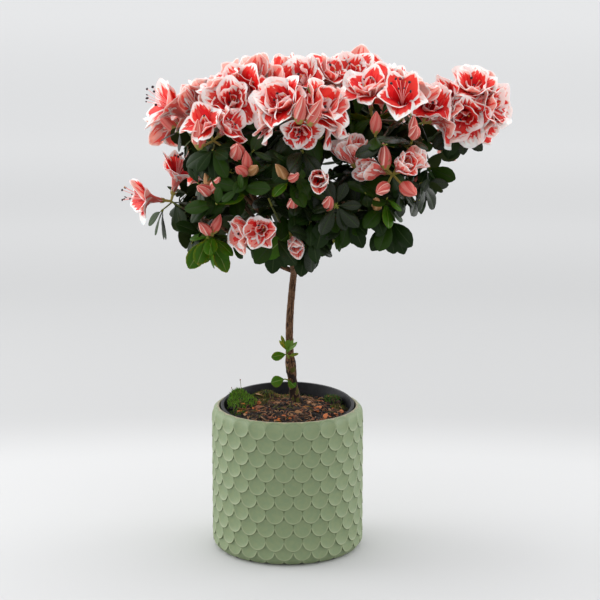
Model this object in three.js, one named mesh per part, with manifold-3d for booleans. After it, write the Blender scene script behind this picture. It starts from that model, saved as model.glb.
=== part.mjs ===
// A standard azalea in flower: one bare stem with a bushy head, in a ceramic cover pot.
// Millimetres, +Z up. The origin is the middle of the pot's flat underside.
// +X is to the viewer's right, and the viewer stands on the -Y side.

import * as THREE from "three";
import { mergeVertices } from "three/addons/utils/BufferGeometryUtils.js";
import Module from "manifold-3d";

const wasm = await Module();
wasm.setup();
const { Manifold, Mesh } = wasm;

// Driving dimensions of the cover pot
const POT_RADIUS = 72;
const POT_HEIGHT = 138;
const POT_MOUTH_RADIUS = 64.8;
const POT_WALL = 5;
const POT_FLOOR = 9;
const POT_CORNER = 10;
const POT_SHOULDER = 9;
const POT_SIDES = 40;

// Driving dimensions of the grower's pot that stands inside it, leaning a little forward
const LINER_HEIGHT = 126;
const LINER_RIM_RADIUS = 63.4;
const LINER_TOP_RADIUS = 61.5;
const LINER_BASE_RADIUS = 46;
const LINER_WALL = 1.3;
const LINER_RIM_DEPTH = 6;
const LINER_TILT = 5;
const LINER_SIDES = 32;

// Driving dimensions of the peat and of the stem
const SOIL_EDGE = 130;
const SOIL_MOUND = 7;
const STEM_FOOT = { x: 8, y: 14, z: 136.6 };
const STEM_TIP_HEIGHT = 330;

// Clearances
const GAP = 0.3;
const LIMB_CLEARANCE = 0.45;
const CELL_MARGIN = 0.25;
const ROUNDING = 0.01;
const WELD = 0.001;

// Sizes of what grows
const LEAF_LENGTH = 38;
const LEAF_WIDTH = 19;
const LEAF_THICKNESS = 1.2;
const LEAF_ROOT = 0.55;
const TWIG_RADIUS = 1.15;
const TWIG_TIP_RADIUS = 1.35;
const BOUGH_RADIUS = 2.3;
const BOUGH_TIP_RADIUS = 1.75;
const BUD_LENGTH = 17;
const BUD_RADIUS = 3.4;

const COLOURS = {
  pot: { color: 0x93a585, roughness: 0.62, metalness: 0 },
  liner: { color: 0x23252a, roughness: 0.5, metalness: 0 },
  soil: { color: 0x2c2018, roughness: 0.95, metalness: 0 },
  bark: { color: 0x5d4a3d, roughness: 0.9, metalness: 0 },
  foliage: { color: 0x2f4a33, roughness: 0.45, metalness: 0 },
};

// One clump of the head a line: the middle of its own space, the height at which its bough leaves
// the stem, and its flowering heads. A head has its place, the way it faces as azimuth and elevation
// in degrees (azimuth -90 is towards the viewer), its flowers with their radius and how far they
// have opened, and its buds.
const CLUMPS = [
  { name: "front_crown", at: [14, -60, 398], bough: 310, heads: [
    { at: [12, -70, 418], face: [-92, 38], flowers: 5, radius: 28, open: 1, buds: 2 },
    { at: [2, -84, 366], face: [-95, 40], flowers: 0, buds: 2 },
    { at: [31, -76, 366], face: [-80, 30], flowers: 1, radius: 16, open: 0.4, buds: 0 },
  ] },
  { name: "front_low", at: [0, -46, 322], bough: 262, heads: [
    { at: [-20, -54, 315], face: [-108, 6], flowers: 1, radius: 28, open: 0.75, buds: 0 },
    { at: [9, -50, 302], face: [-80, -5], flowers: 1, radius: 14, open: 0.5, buds: 0 },
    { at: [6, -72, 336], face: [-90, 35], flowers: 0, buds: 1 },
    { at: [36, -76, 338], face: [-85, 40], flowers: 0, buds: 1 },
  ] },
  { name: "left_front", at: [-60, -46, 388], bough: 286, heads: [
    { at: [-66, -56, 398], face: [-105, 35], flowers: 2, radius: 21, open: 0.8, buds: 2 },
    { at: [-34, -76, 370], face: [-96, 45], flowers: 0, buds: 3 },
    { at: [-67, -60, 350], face: [-110, 50], flowers: 0, buds: 3 },
  ] },
  { name: "left_side", at: [-88, 6, 398], bough: 292, heads: [
    { at: [-84, -8, 407], face: [176, 25], flowers: 1, radius: 27, open: 0.8, buds: 0 },
    { at: [-70, 8, 414], face: [150, 62], flowers: 2, radius: 25, open: 1, buds: 0 },
    { at: [-98, 38, 394], face: [150, 25], flowers: 2, radius: 24, open: 1, buds: 1 },
  ] },
  { name: "left_low", at: [-88, -14, 326], bough: 266, heads: [
    { at: [-108, -4, 334], face: [176, 35], flowers: 2, radius: 24, open: 0.75, buds: 0 },
    { at: [-68, -50, 310], face: [-100, 60], flowers: 0, buds: 2 },
  ] },
  { name: "top_left", at: [-28, 4, 418], bough: 322, heads: [
    { at: [-24, -6, 432], face: [-100, 66], flowers: 3, radius: 28, open: 1, buds: 0 },
    { at: [-48, -22, 420], face: [-125, 40], flowers: 2, radius: 25, open: 1, buds: 0 },
    { at: [-36, 28, 428], face: [115, 50], flowers: 2, radius: 26, open: 1, buds: 1 },
  ] },
  { name: "top_right", at: [50, 22, 422], bough: 326, heads: [
    { at: [27, 4, 434], face: [-95, 55], flowers: 2, radius: 26, open: 1, buds: 0 },
    { at: [62, 24, 446], face: [-75, 72], flowers: 4, radius: 25, open: 1, buds: 0 },
    { at: [44, 52, 424], face: [95, 40], flowers: 2, radius: 25, open: 1, buds: 0 },
  ] },
  { name: "right_front", at: [100, -36, 414], bough: 288, heads: [
    { at: [77, -36, 418], face: [-112, 42], flowers: 1, radius: 30, open: 1, buds: 0 },
    { at: [104, -54, 418], face: [-85, 45], flowers: 2, radius: 27, open: 1, buds: 0 },
    { at: [124, -26, 410], face: [-35, 25], flowers: 2, radius: 25, open: 0.8, buds: 0 },
    { at: [79, -72, 404], face: [-85, 65], flowers: 0, buds: 1 },
    { at: [112, -78, 402], face: [-80, 65], flowers: 0, buds: 2 },
  ] },
  { name: "right_low", at: [86, -46, 352], bough: 270, heads: [
    { at: [95, -66, 369], face: [-80, 22], flowers: 3, radius: 20, open: 0.5, buds: 2 },
    { at: [64, -58, 370], face: [-98, 20], flowers: 2, radius: 19, open: 0.5, buds: 0 },
    { at: [82, -66, 336], face: [-100, 40], flowers: 0, buds: 1 },
  ] },
  { name: "far_right", at: [156, -3, 400], bough: 298, heads: [
    { at: [166, -4, 420], face: [-62, 52], flowers: 6, radius: 27, open: 1, buds: 0 },
  ] },
  { name: "back_left", at: [-64, 66, 388], bough: 282, heads: [
    { at: [-72, 78, 402], face: [130, 35], flowers: 3, radius: 25, open: 1, buds: 1 },
    { at: [-28, 92, 384], face: [105, 20], flowers: 2, radius: 24, open: 0.8, buds: 1 },
  ] },
  { name: "back_crown", at: [14, 82, 402], bough: 306, heads: [
    { at: [10, 90, 420], face: [92, 42], flowers: 4, radius: 27, open: 1, buds: 2 },
    { at: [46, 100, 390], face: [75, 15], flowers: 2, radius: 23, open: 0.8, buds: 0 },
  ] },
  { name: "back_right", at: [94, 58, 396], bough: 302, heads: [
    { at: [100, 68, 412], face: [60, 45], flowers: 4, radius: 25, open: 1, buds: 0 },
    { at: [128, 48, 384], face: [30, 15], flowers: 2, radius: 24, open: 0.8, buds: 1 },
  ] },
  { name: "back_low_left", at: [-46, 60, 322], bough: 274, heads: [
    { at: [-72, 80, 328], face: [130, 15], flowers: 2, radius: 22, open: 0.75, buds: 0 },
    { at: [-18, 88, 342], face: [95, 50], flowers: 0, buds: 2 },
  ] },
  { name: "back_low_right", at: [58, 52, 330], bough: 278, heads: [
    { at: [76, 80, 336], face: [65, 12], flowers: 2, radius: 21, open: 0.5, buds: 2 },
    { at: [112, 36, 342], face: [15, 40], flowers: 0, buds: 2 },
  ] },
];
const LEAFY_SHOOTS = 4;
const HEAD_LEAVES = 3;
const SHOOT_LEAVES = 5;
const HEAD_MIDDLE = new THREE.Vector3(8, 2, 350);
const LOWEST_TIP = 282;

// The planes that the head keeps within, each by the way it faces and a place on it: below, below
// on the right where the head rises, and on the left.
const HEAD_EDGES = [
  { face: [0, 0, -1], through: [0, 0, 268] },
  { face: [1, 0, -1], through: [68, 0, 268] },
  { face: [-1, 0, 0], through: [-144, 0, 350] },
];

const UP = new THREE.Vector3(0, 0, 1);
const vector = (x, y, z) => new THREE.Vector3(x, y, z);
const degrees = THREE.MathUtils.degToRad;
const along = (a, b, t) => a.clone().lerp(b, t);

// A repeatable row of numbers from 0 to 1. The same rule, with the same seeds, is easy to write in any language.
function seeded(seed) {
  let state = seed >>> 0;
  return () => {
    state = (Math.imul(state, 1664525) + 1013904223) >>> 0;
    return state / 4294967296;
  };
}

// The unit vector for an azimuth and elevation in degrees.
function heading([azimuth, elevation]) {
  const level = Math.cos(degrees(elevation));
  return vector(
    level * Math.cos(degrees(azimuth)),
    level * Math.sin(degrees(azimuth)),
    Math.sin(degrees(elevation)),
  );
}

// Two unit vectors square to an axis, the first as near to the hint as it can be.
function squareTo(axis, hint = Math.abs(axis.z) > 0.9 ? vector(1, 0, 0) : UP) {
  const first = hint.clone().addScaledVector(axis, -hint.dot(axis)).normalize();
  return [first, axis.clone().cross(first)];
}

// A closed solid that starts at a point, runs through rings of equally many corners, and ends at a point.
// Each ring turns by the right hand about the way the rings advance.
function loft(start, rings, end) {
  const sides = rings[0].length;
  const corners = [start, ...rings.flat(), end];
  const last = corners.length - 1;
  const triangles = [];
  for (let i = 0; i < sides; i++) {
    const j = (i + 1) % sides;
    triangles.push([0, 1 + j, 1 + i]);
    triangles.push([last, last - sides + i, last - sides + j]);
    for (let k = 0; k + 1 < rings.length; k++) {
      const low = 1 + k * sides;
      const high = low + sides;
      triangles.push([low + i, low + j, high + j]);
      triangles.push([low + i, high + j, high + i]);
    }
  }
  return new Manifold(
    new Mesh({
      numProp: 3,
      vertProperties: new Float32Array(corners.flatMap((p) => p.toArray())),
      triVerts: new Uint32Array(triangles.flat()),
    }),
  );
}

// A ring of corners about an axis; radius may be a number or a function of the angle.
function ring(centre, axis, radius, sides, hint) {
  const [a, b] = squareTo(axis, hint);
  return Array.from({ length: sides }, (_, i) => {
    const angle = (2 * Math.PI * i) / sides;
    const r = typeof radius === "function" ? radius(angle) : radius;
    return centre
      .clone()
      .addScaledVector(a, r * Math.cos(angle))
      .addScaledVector(b, r * Math.sin(angle));
  });
}

// A tapering limb along a curve, cut square at both ends. radiusAt takes the share of the length
// and the angle round the limb.
function limb(curve, radiusAt, sides, steps) {
  const chord = curve.getPointAt(1).sub(curve.getPointAt(0)).normalize();
  const [hint] = squareTo(chord);
  const rings = Array.from({ length: steps + 1 }, (_, i) => {
    const t = i / steps;
    const radius = (angle) => radiusAt(t, angle);
    return ring(curve.getPointAt(t), curve.getTangentAt(t), radius, sides, hint);
  });
  return loft(curve.getPointAt(0), rings, curve.getPointAt(1));
}

const toGeometry = (made) => {
  const { vertProperties, triVerts, numProp } = made.getMesh();
  const points = [];
  for (let i = 0; i < vertProperties.length; i += numProp) {
    points.push(...vertProperties.subarray(i, i + 3));
  }
  const geometry = new THREE.BufferGeometry();
  geometry.setAttribute("position", new THREE.Float32BufferAttribute(points, 3));
  geometry.setIndex([...triVerts]);
  return geometry;
};

function piece(name, made, finish) {
  const geometry = made.isBufferGeometry ? made : toGeometry(made);
  geometry.computeVertexNormals();
  const mesh = new THREE.Mesh(geometry, new THREE.MeshStandardMaterial(finish));
  mesh.name = name;
  return mesh;
}

// Points on a quarter ellipse from one place to another, turning from the first direction.
function quarter(from, to, steps, upFirst) {
  return Array.from({ length: steps + 1 }, (_, i) => {
    const a = (Math.PI / 2) * (i / steps);
    const [s, t] = upFirst ? [1 - Math.cos(a), Math.sin(a)] : [Math.sin(a), 1 - Math.cos(a)];
    return new THREE.Vector2(from[0] + (to[0] - from[0]) * s, from[1] + (to[1] - from[1]) * t);
  });
}

// The cover pot: a thick wall with a rounded foot and shoulder, and a smaller mouth.
function coverPot() {
  const lip = POT_MOUTH_RADIUS + 1;
  const inside = POT_RADIUS - POT_WALL;
  const profile = [
    new THREE.Vector2(0, 0),
    ...quarter([POT_RADIUS - POT_CORNER, 0], [POT_RADIUS, POT_CORNER], 3, false),
    ...quarter([POT_RADIUS, POT_HEIGHT - POT_SHOULDER], [lip, POT_HEIGHT], 3, true),
    new THREE.Vector2(POT_MOUTH_RADIUS, POT_HEIGHT - 1),
    new THREE.Vector2(POT_MOUTH_RADIUS, POT_HEIGHT - POT_SHOULDER),
    new THREE.Vector2(inside, POT_HEIGHT - 2 * POT_SHOULDER),
    new THREE.Vector2(inside, POT_FLOOR),
    new THREE.Vector2(0, POT_FLOOR),
  ];
  return new THREE.LatheGeometry(profile, POT_SIDES).rotateX(Math.PI / 2);
}

// The radius of the grower's pot at a height above its own base, at its outer face.
function linerRadius(height) {
  return LINER_BASE_RADIUS + ((LINER_TOP_RADIUS - LINER_BASE_RADIUS) * height) / LINER_HEIGHT;
}

// The grower's pot: thin tapered plastic with a thicker band round the rim.
function linerPot() {
  const band = LINER_HEIGHT - LINER_RIM_DEPTH;
  const profile = [
    new THREE.Vector2(0, 0),
    new THREE.Vector2(LINER_BASE_RADIUS, 0),
    new THREE.Vector2(linerRadius(band), band),
    new THREE.Vector2(LINER_RIM_RADIUS, band),
    new THREE.Vector2(LINER_RIM_RADIUS, LINER_HEIGHT),
    new THREE.Vector2(LINER_TOP_RADIUS - LINER_WALL, LINER_HEIGHT),
    new THREE.Vector2(LINER_BASE_RADIUS - LINER_WALL, LINER_WALL),
    new THREE.Vector2(0, LINER_WALL),
  ];
  return new THREE.LatheGeometry(profile, LINER_SIDES).rotateX(Math.PI / 2);
}

// Where the grower's pot stands: its low edge rests on the cover pot's floor, and its rim is central.
const tilt = degrees(LINER_TILT);
const linerPlace = vector(
  0,
  LINER_HEIGHT * Math.sin(tilt),
  POT_FLOOR + GAP + LINER_BASE_RADIUS * Math.sin(tilt),
);
const linerFrame = new THREE.Matrix4()
  .makeRotationX(tilt)
  .setPosition(linerPlace);

// The peat's surface: a low mound, with a cushion of moss on the left and a smaller one behind.
const MOSS = [
  { at: [-44, 6], radius: 15, height: 9 },
  { at: [-24, 40], radius: 13, height: 6 },
  { at: [44, 26], radius: 9, height: 6 },
];
function soilHeight(x, y) {
  const mound = SOIL_MOUND * (1 - (x * x + y * y) / (LINER_TOP_RADIUS * LINER_TOP_RADIUS));
  const cushions = MOSS.map(({ at, radius, height }) => {
    const share = Math.hypot(x - at[0], y - at[1]) / radius;
    return share < 1 ? height * Math.sqrt(1 - share * share) : 0;
  });
  return SOIL_EDGE + mound + Math.max(...cushions);
}

// The peat fills the grower's pot, and has a small flat seat for the stem's foot.
function soil() {
  const rings = [];
  const base = LINER_WALL + GAP;
  const clear = LINER_WALL + GAP + 0.4;
  const bottom = linerRadius(base) - clear;
  const at = (angle, radius, height) =>
    vector(radius * Math.cos(angle), radius * Math.sin(angle), height).applyMatrix4(linerFrame);
  const top = (angle, share) => {
    const edge = linerRadius(SOIL_EDGE - linerPlace.z) - clear - 0.4;
    const p = at(angle, edge * share, SOIL_EDGE - linerPlace.z);
    return vector(p.x, p.y, soilHeight(p.x, p.y));
  };
  const angles = Array.from({ length: LINER_SIDES }, (_, i) => (2 * Math.PI * i) / LINER_SIDES);
  rings.push(angles.map((a) => at(a, bottom, base)));
  for (const share of [1, 0.84, 0.66, 0.44, 0.2]) {
    rings.push(angles.map((a) => top(a, share)));
  }
  const heap = loft(vector(0, 0, base).applyMatrix4(linerFrame), rings, top(0, 0));
  const seatFloor = STEM_FOOT.z - GAP;
  const seat = [seatFloor, seatFloor + SOIL_MOUND].map((z) =>
    ring(vector(STEM_FOOT.x, STEM_FOOT.y, z), UP, 8.5, 20),
  );
  return heap.subtract(
    loft(vector(STEM_FOOT.x, STEM_FOOT.y, seatFloor), seat, vector(STEM_FOOT.x, STEM_FOOT.y, seatFloor + SOIL_MOUND)),
  );
}

// The stem leans left and then right on its way up, from its foot to its tip inside the head.
const stemCurve = new THREE.CatmullRomCurve3([
  vector(STEM_FOOT.x + 0.6, STEM_FOOT.y + 0.5, STEM_FOOT.z - 4),
  vector(5, 11.5, 155),
  vector(2.2, 9, 186),
  vector(2, 7, 215),
  vector(4.2, 5, 246),
  vector(7, 3, 275),
  vector(8.4, 2, 303),
  vector(8, 2, STEM_TIP_HEIGHT),
]);

// The stem's radius: a root flare, an old graft's swelling, then an even taper.
function stemRadius(share, angle) {
  const height = share * (STEM_TIP_HEIGHT - STEM_FOOT.z + 4) - 4;
  const flare = 2.6 * Math.exp(-height / 9) * (1 + 0.28 * Math.cos(3 * angle + 0.6));
  const graft = 0.85 * Math.exp(-(((height - 36) / 9) ** 2)) * (1 + 0.4 * Math.cos(2 * angle));
  return 3.9 - 1.5 * share + flare + graft;
}
const stem = (extra) =>
  limb(stemCurve, (t, angle) => stemRadius(t, angle) + extra, 8, 18).trimByPlane(
    [0, 0, 1],
    STEM_FOOT.z,
  );

// The place on the stem's own line at a height.
function stemAt(height) {
  let [low, high] = [0, 1];
  for (let i = 0; i < 24; i++) {
    const middle = (low + high) / 2;
    if (stemCurve.getPointAt(middle).z < height) low = middle;
    else high = middle;
  }
  return stemCurve.getPointAt(low);
}

// A clump's own space: its side of the planes halfway to each neighbour, within the head's edges.
function spaceOf(clump) {
  const middle = vector(...clump.at);
  const others = CLUMPS.filter((other) => other !== clump);
  const edges = HEAD_EDGES.map(({ face, through }) => {
    const away = vector(...face).normalize();
    return { away, limit: away.dot(vector(...through)) };
  });
  return [...others.map((other) => halfway(middle, vector(...other.at), CELL_MARGIN)), ...edges];
}

// The plane halfway between two places, less a margin, as the way across it and its furthest reach.
function halfway(near, far, margin) {
  const away = far.clone().sub(near);
  const half = away.length() / 2 - margin;
  away.normalize();
  return { away, limit: near.dot(away) + half };
}
function keepsTo(space, made) {
  const { vertProperties: values } = made.getMesh();
  return space.every(({ away, limit }) => {
    for (let i = 0; i < values.length; i += 3) {
      const reach = away.x * values[i] + away.y * values[i + 1] + away.z * values[i + 2];
      if (reach > limit + ROUNDING) return false;
    }
    return true;
  });
}

// The furthest share of the way from a point inside the space to another that stays in the space.
function shareInside(space, from, to) {
  let share = 1;
  for (const { away, limit } of space) {
    const [a, b] = [from.dot(away), to.dot(away)];
    if (b > limit) share = Math.min(share, Math.max(0, (limit - a) / (b - a)));
  }
  return share;
}

// A bough arches out from the stem and stops where it has entered its clump's own space.
const BOUGH_SHARE = 0.5;
const BOUGH_ENTRY = 4;
function boughCurve(clump) {
  const foot = stemAt(clump.bough);
  const middle = vector(...clump.at);
  const back = 1 - shareInside(spaceOf(clump), middle, foot);
  const entry = back > 0 ? back + BOUGH_ENTRY / foot.distanceTo(middle) : 0;
  const end = along(foot, middle, Math.max(BOUGH_SHARE, entry));
  const bend = along(foot, end, 0.5);
  const out = vector(end.x - foot.x, end.y - foot.y, 0);
  bend.addScaledVector(out, 0.16);
  bend.z -= 0.05 * out.length();
  return new THREE.QuadraticBezierCurve3(foot, bend, end);
}
const bough = (clump, extra) =>
  limb(
    boughCurve(clump),
    (t) => BOUGH_RADIUS + (BOUGH_TIP_RADIUS - BOUGH_RADIUS) * t + extra,
    5,
    3,
  );

const stemClear = stem(GAP);
const limbsClear = Manifold.union([
  stem(LIMB_CLEARANCE),
  ...CLUMPS.map((clump) => bough(clump, LIMB_CLEARANCE)),
]);

// A leaf: a thin blade with a keel, widest past its middle, whose narrow root is sunk in its twig.
function leaf(place, way, face, length) {
  const [upper, side] = squareTo(way, face);
  const root = place.clone().addScaledVector(way, -LEAF_ROOT);
  const middle = place.clone().addScaledVector(way, 0.54 * length);
  const half = (LEAF_WIDTH / 2) * (length / LEAF_LENGTH);
  const tip = place.clone().addScaledVector(way, length).addScaledVector(upper, -0.08 * length);
  const belt = [
    middle.clone().addScaledVector(side, half),
    middle.clone().addScaledVector(upper, -LEAF_THICKNESS),
    middle.clone().addScaledVector(side, -half),
  ];
  return loft(root, [belt], tip);
}

// A flower: a narrow tube that flares to a ruffled mouth with a hollow throat. A mouth corner that
// would leave its own space is drawn back into it, as petals press on their neighbours.
const FLOWER_SIDES = 8;
function flower({ place, way, radius, open }, space, random) {
  const depth = radius * (1.35 - 0.45 * open);
  const root = place.clone().addScaledVector(way, 0.35);
  const waist = place.clone().addScaledVector(way, depth * 0.4);
  const tube = ring(waist, way, 0.2 * radius, FLOWER_SIDES);
  const mouth = ring(
    place.clone().addScaledVector(way, depth),
    way,
    (angle) => radius * (0.35 + 0.6 * open) * (1 + 0.1 * Math.cos(4 * angle)),
    FLOWER_SIDES,
  );
  mouth.forEach((corner, i) => {
    corner.addScaledVector(way, radius * ((i % 2 ? 0.14 : -0.1) + 0.14 * random()));
  });
  const throat = place.clone().addScaledVector(way, depth * 0.62);
  for (const corner of [...tube, ...mouth, throat]) {
    corner.copy(along(waist, corner, shareInside(space, waist, corner)));
  }
  return loft(root, open < 0.9 ? [tube, mouth] : [mouth], throat);
}

// A bud: a pointed spindle.
function bud(place, way, length) {
  const at = (t) => place.clone().addScaledVector(way, t * length);
  return loft(at(0.02), [ring(at(0.48), way, BUD_RADIUS, 5)], at(1));
}

// The line of a twig: it leaves the clump's stem and bends to meet its tip the way that the tip faces.
function twigLine(from, tip, way) {
  const bend = tip.clone().addScaledVector(way, -0.42 * from.distanceTo(tip));
  return new THREE.QuadraticBezierCurve3(from, bend, tip.clone().addScaledVector(way, 1.6));
}
const twig = (line) => limb(line, (t) => TWIG_RADIUS + (TWIG_TIP_RADIUS - TWIG_RADIUS) * t, 3, 2);

// A way leaning from an axis by one angle, turned round it by another.
function leaning(axis, lean, turn) {
  const [a, b] = squareTo(axis);
  return axis
    .clone()
    .multiplyScalar(Math.cos(lean))
    .addScaledVector(a, Math.sin(lean) * Math.cos(turn))
    .addScaledVector(b, Math.sin(lean) * Math.sin(turn));
}

// The ways that the flowers of a head face: one along the head, or a ring of them round it.
function flowerWays(face, count, turn) {
  if (count < 2) return count ? [face] : [];
  const inRing = count > 5 ? count - 1 : count;
  const lean = degrees(count === 2 ? 38 : 52);
  const ways = Array.from({ length: inRing }, (_, i) =>
    leaning(face, lean, turn + (2 * Math.PI * i) / inRing),
  );
  return inRing < count ? [...ways, face] : ways;
}

// Where a clump's twigs end: its flowering heads, then leafy shoots spread over its outer side.
function tipsOf(clump, space) {
  const random = seeded(101 + 17 * CLUMPS.indexOf(clump));
  const middle = vector(...clump.at);
  const outward = middle.clone().sub(HEAD_MIDDLE).normalize();
  const tips = clump.heads.map((head) => ({
    tip: vector(...head.at),
    way: heading(head.face),
    turn: 2 * Math.PI * random(),
    head,
  }));
  for (let tries = 0; tips.length < clump.heads.length + LEAFY_SHOOTS && tries < 80; tries++) {
    const height = 1 - 2 * random();
    const angle = 2 * Math.PI * random();
    const level = Math.sqrt(1 - height * height);
    const way = vector(level * Math.cos(angle), level * Math.sin(angle), height * 0.75);
    const reach = 28 + 18 * random();
    const tip = middle.clone().addScaledVector(way, reach);
    const share = shareInside(space, middle, tip);
    if (way.dot(outward) < -0.45 || share < 0.75) continue;
    if (share < 1) tip.copy(along(middle, tip, share - 0.12));
    if (tip.z < LOWEST_TIP || tips.some((other) => other.tip.distanceTo(tip) < 26)) continue;
    const faces = way.clone().addScaledVector(UP, 0.55).normalize();
    tips.push({ tip, way: faces, turn: 2 * Math.PI * random() });
  }
  return tips;
}

// Whether a solid crosses any of the others by more than a trace, as roots in one twig do.
const ROOT_CROSSING = 0.02;
const FORK_TRIES = [0, -0.2, 0.2];
const LEAF_TRIES = [[0, 0], [20, 8], [-20, 8], [10, -22], [-10, -22], [0, 26]];
function crosses(made, others) {
  const box = made.boundingBox();
  const near = others.filter(({ box: other }) =>
    [0, 1, 2].every((k) => box.min[k] < other.max[k] && box.max[k] > other.min[k]),
  );
  return near.some((other) => made.intersect(other.made).volume() > ROOT_CROSSING);
}

// A clump: a stem that goes on from the bough, a twig to each tip, then flowers, buds and leaves.
// What would leave the clump's space, touch a limb or run through another piece is skipped.
function clumpSolid(clump, seed) {
  const random = seeded(seed);
  const space = spaceOf(clump);
  const line = boughCurve(clump);
  const way = line.getTangentAt(1);
  const foot = line.getPointAt(1).addScaledVector(way, GAP);
  const middle = vector(...clump.at);
  const bend = foot.clone().addScaledVector(way, 9);
  const stemLine = new THREE.QuadraticBezierCurve3(foot, bend, middle);
  const grown = [];
  const add = (made, owner) => {
    if (!keepsTo(space, made) || !made.intersect(limbsClear).isEmpty()) return false;
    grown.push({ made, owner, box: made.boundingBox() });
    return true;
  };
  add(limb(stemLine, (t) => BOUGH_TIP_RADIUS - 0.15 * t, 5, 2));

  const wanted = tipsOf(clump, space);
  const tips = wanted.filter((tip, i) => {
    const fork = 0.97 - (0.62 * i) / wanted.length;
    return FORK_TRIES.some((shift) => {
      tip.line = twigLine(stemLine.getPointAt(Math.min(1, fork + shift)), tip.tip, tip.way);
      return add(twig(tip.line), tip);
    });
  });
  const heads = tips.filter(({ head }) => head);
  const flowers = heads.flatMap(({ tip, way: face, turn, head }) =>
    flowerWays(face, head.flowers, turn).map((out) => ({
      place: tip,
      way: out,
      radius: head.radius,
      open: head.open,
      centre: tip.clone().addScaledVector(out, head.radius * 0.9),
    })),
  );
  const buds = heads.flatMap(({ tip, way: face, turn, head }) =>
    Array.from({ length: head.buds }, (_, i) => {
      const out = leaning(face, head.buds > 1 ? 0.5 : 0, turn + (2 * Math.PI * (i + 0.5)) / head.buds);
      const length = BUD_LENGTH * (head.flowers ? 1.3 : 1) * (0.9 + 0.3 * random());
      const centre = tip.clone().addScaledVector(out, (head.radius ?? BUD_LENGTH) * 0.9);
      return { place: tip, way: out, length, centre };
    }),
  );
  for (const bloom of flowers) {
    const others = [...flowers, ...buds].filter((other) => other !== bloom);
    const walls = others.map((other) => halfway(bloom.centre, other.centre, 0.15));
    add(flower(bloom, [...space, ...walls], random));
  }
  for (const { place, way: out, length } of buds) {
    add(bud(place, out, length));
  }
  for (const tip of tips) {
    const count = tip.head?.flowers ? HEAD_LEAVES : SHOOT_LEAVES;
    const others = grown.filter(({ owner }) => owner !== tip);
    for (let i = 0; i < count; i++) {
      const lean = (tip.head?.flowers ? 104 : 74) + 22 * (random() - 0.5);
      const length = LEAF_LENGTH * (0.82 + 0.36 * random());
      const place = along(tip.line.getPointAt(1), tip.line.getPointAt(0.5), 0.1 + (0.7 * i) / count);
      for (const [shift, droop] of LEAF_TRIES) {
        const turn = tip.turn + degrees(shift) + (2 * Math.PI * i) / count;
        const out = leaning(tip.way, degrees(lean + droop), turn);
        out.z -= 0.2;
        const made = leaf(place, out.normalize(), tip.way, length);
        if (!keepsTo(space, made) || crosses(made, others)) continue;
        add(made, tip);
        others.push({ made, box: made.boundingBox() });
        break;
      }
    }
  }
  return largest(Manifold.union(grown.map(({ made }) => made)));
}

// Whether a solid stays one closed surface once corners that nearly meet are welded: each edge then
// lies between just two faces, which run along it in opposite ways.
function closesWhenWelded(made) {
  const { attributes, index } = mergeVertices(toGeometry(made), WELD);
  const corner = (i) => {
    const point = new THREE.Vector3().fromBufferAttribute(attributes.position, index.getX(i));
    return point.toArray().map((value) => value.toFixed(4)).join();
  };
  const edges = new Map();
  for (let i = 0; i < index.count; i += 3) {
    const [a, b, c] = [corner(i), corner(i + 1), corner(i + 2)];
    if (a === b || b === c || c === a) continue;
    for (const edge of [[a, b], [b, c], [c, a]]) {
      edges.set(edge.join(" "), (edges.get(edge.join(" ")) ?? 0) + 1);
    }
  }
  return [...edges].every(([edge, count]) => {
    return count === 1 && edges.has(edge.split(" ").reverse().join(" "));
  });
}

// A clump from the first seed for its leaves that leaves no seam too fine to weld.
function soundClump(clump) {
  const first = 4001 + 31 * CLUMPS.indexOf(clump);
  for (let seed = first; seed < first + 20; seed++) {
    const made = clumpSolid(clump, seed);
    if (closesWhenWelded(made)) return made;
  }
  throw new Error(clump.name + " has a seam too fine to weld with every seed");
}

// The biggest body of a solid: a scrap that touches nothing is dropped.
function largest(made) {
  return made.decompose().sort((a, b) => b.volume() - a.volume())[0];
}

// Young shoots low on the stem: a short stalk, with leaves set along it by way and length.
const BASAL_SHOOTS = [
  { name: "basal_shoot_upper", height: 178, way: [-120, 42], stalk: 13, leaves: [
    { way: [176, 6], length: 20 }, { way: [-62, 50], length: 14 }, { way: [-15, 28], length: 15 },
    { way: [-110, 72], length: 15 },
  ] },
  { name: "basal_shoot_lower", height: 158, way: [-150, 25], stalk: 10, leaves: [
    { way: [172, -4], length: 18 }, { way: [-40, -24], length: 15 },
  ] },
];
function basalShoot({ height, way, stalk, leaves }) {
  const foot = stemAt(height);
  const tip = foot.clone().addScaledVector(heading(way), 4 + stalk);
  const parts = [limb(new THREE.LineCurve3(foot, tip), () => TWIG_RADIUS, 3, 1)];
  leaves.forEach(({ way: blade, length }, i) => {
    const place = along(tip, foot, 0.06 + (0.45 * i) / leaves.length);
    parts.push(leaf(place, heading(blade), vector(0, -0.7, 0.7), length));
  });
  return largest(Manifold.union(parts).subtract(stemClear));
}

const azalea = new THREE.Group();
azalea.name = "azalea_in_cover_pot";

azalea.add(piece("cover_pot", coverPot(), COLOURS.pot));
const liner = piece("grower_pot", linerPot(), COLOURS.liner);
liner.position.copy(linerPlace);
liner.rotation.x = tilt;
azalea.add(liner);
azalea.add(piece("soil", soil(), COLOURS.soil));
azalea.add(piece("stem", stem(0), COLOURS.bark));

const limbsBefore = [stemClear];
for (const clump of CLUMPS) {
  const made = largest(bough(clump, 0).subtract(Manifold.union(limbsBefore)));
  azalea.add(piece("bough_" + clump.name, made, COLOURS.bark));
  limbsBefore.push(bough(clump, GAP));
}
for (const clump of CLUMPS) {
  azalea.add(piece("clump_" + clump.name, soundClump(clump), COLOURS.foliage));
}
for (const shoot of BASAL_SHOOTS) {
  azalea.add(piece(shoot.name, basalShoot(shoot), COLOURS.foliage));
}

export default azalea;
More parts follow.
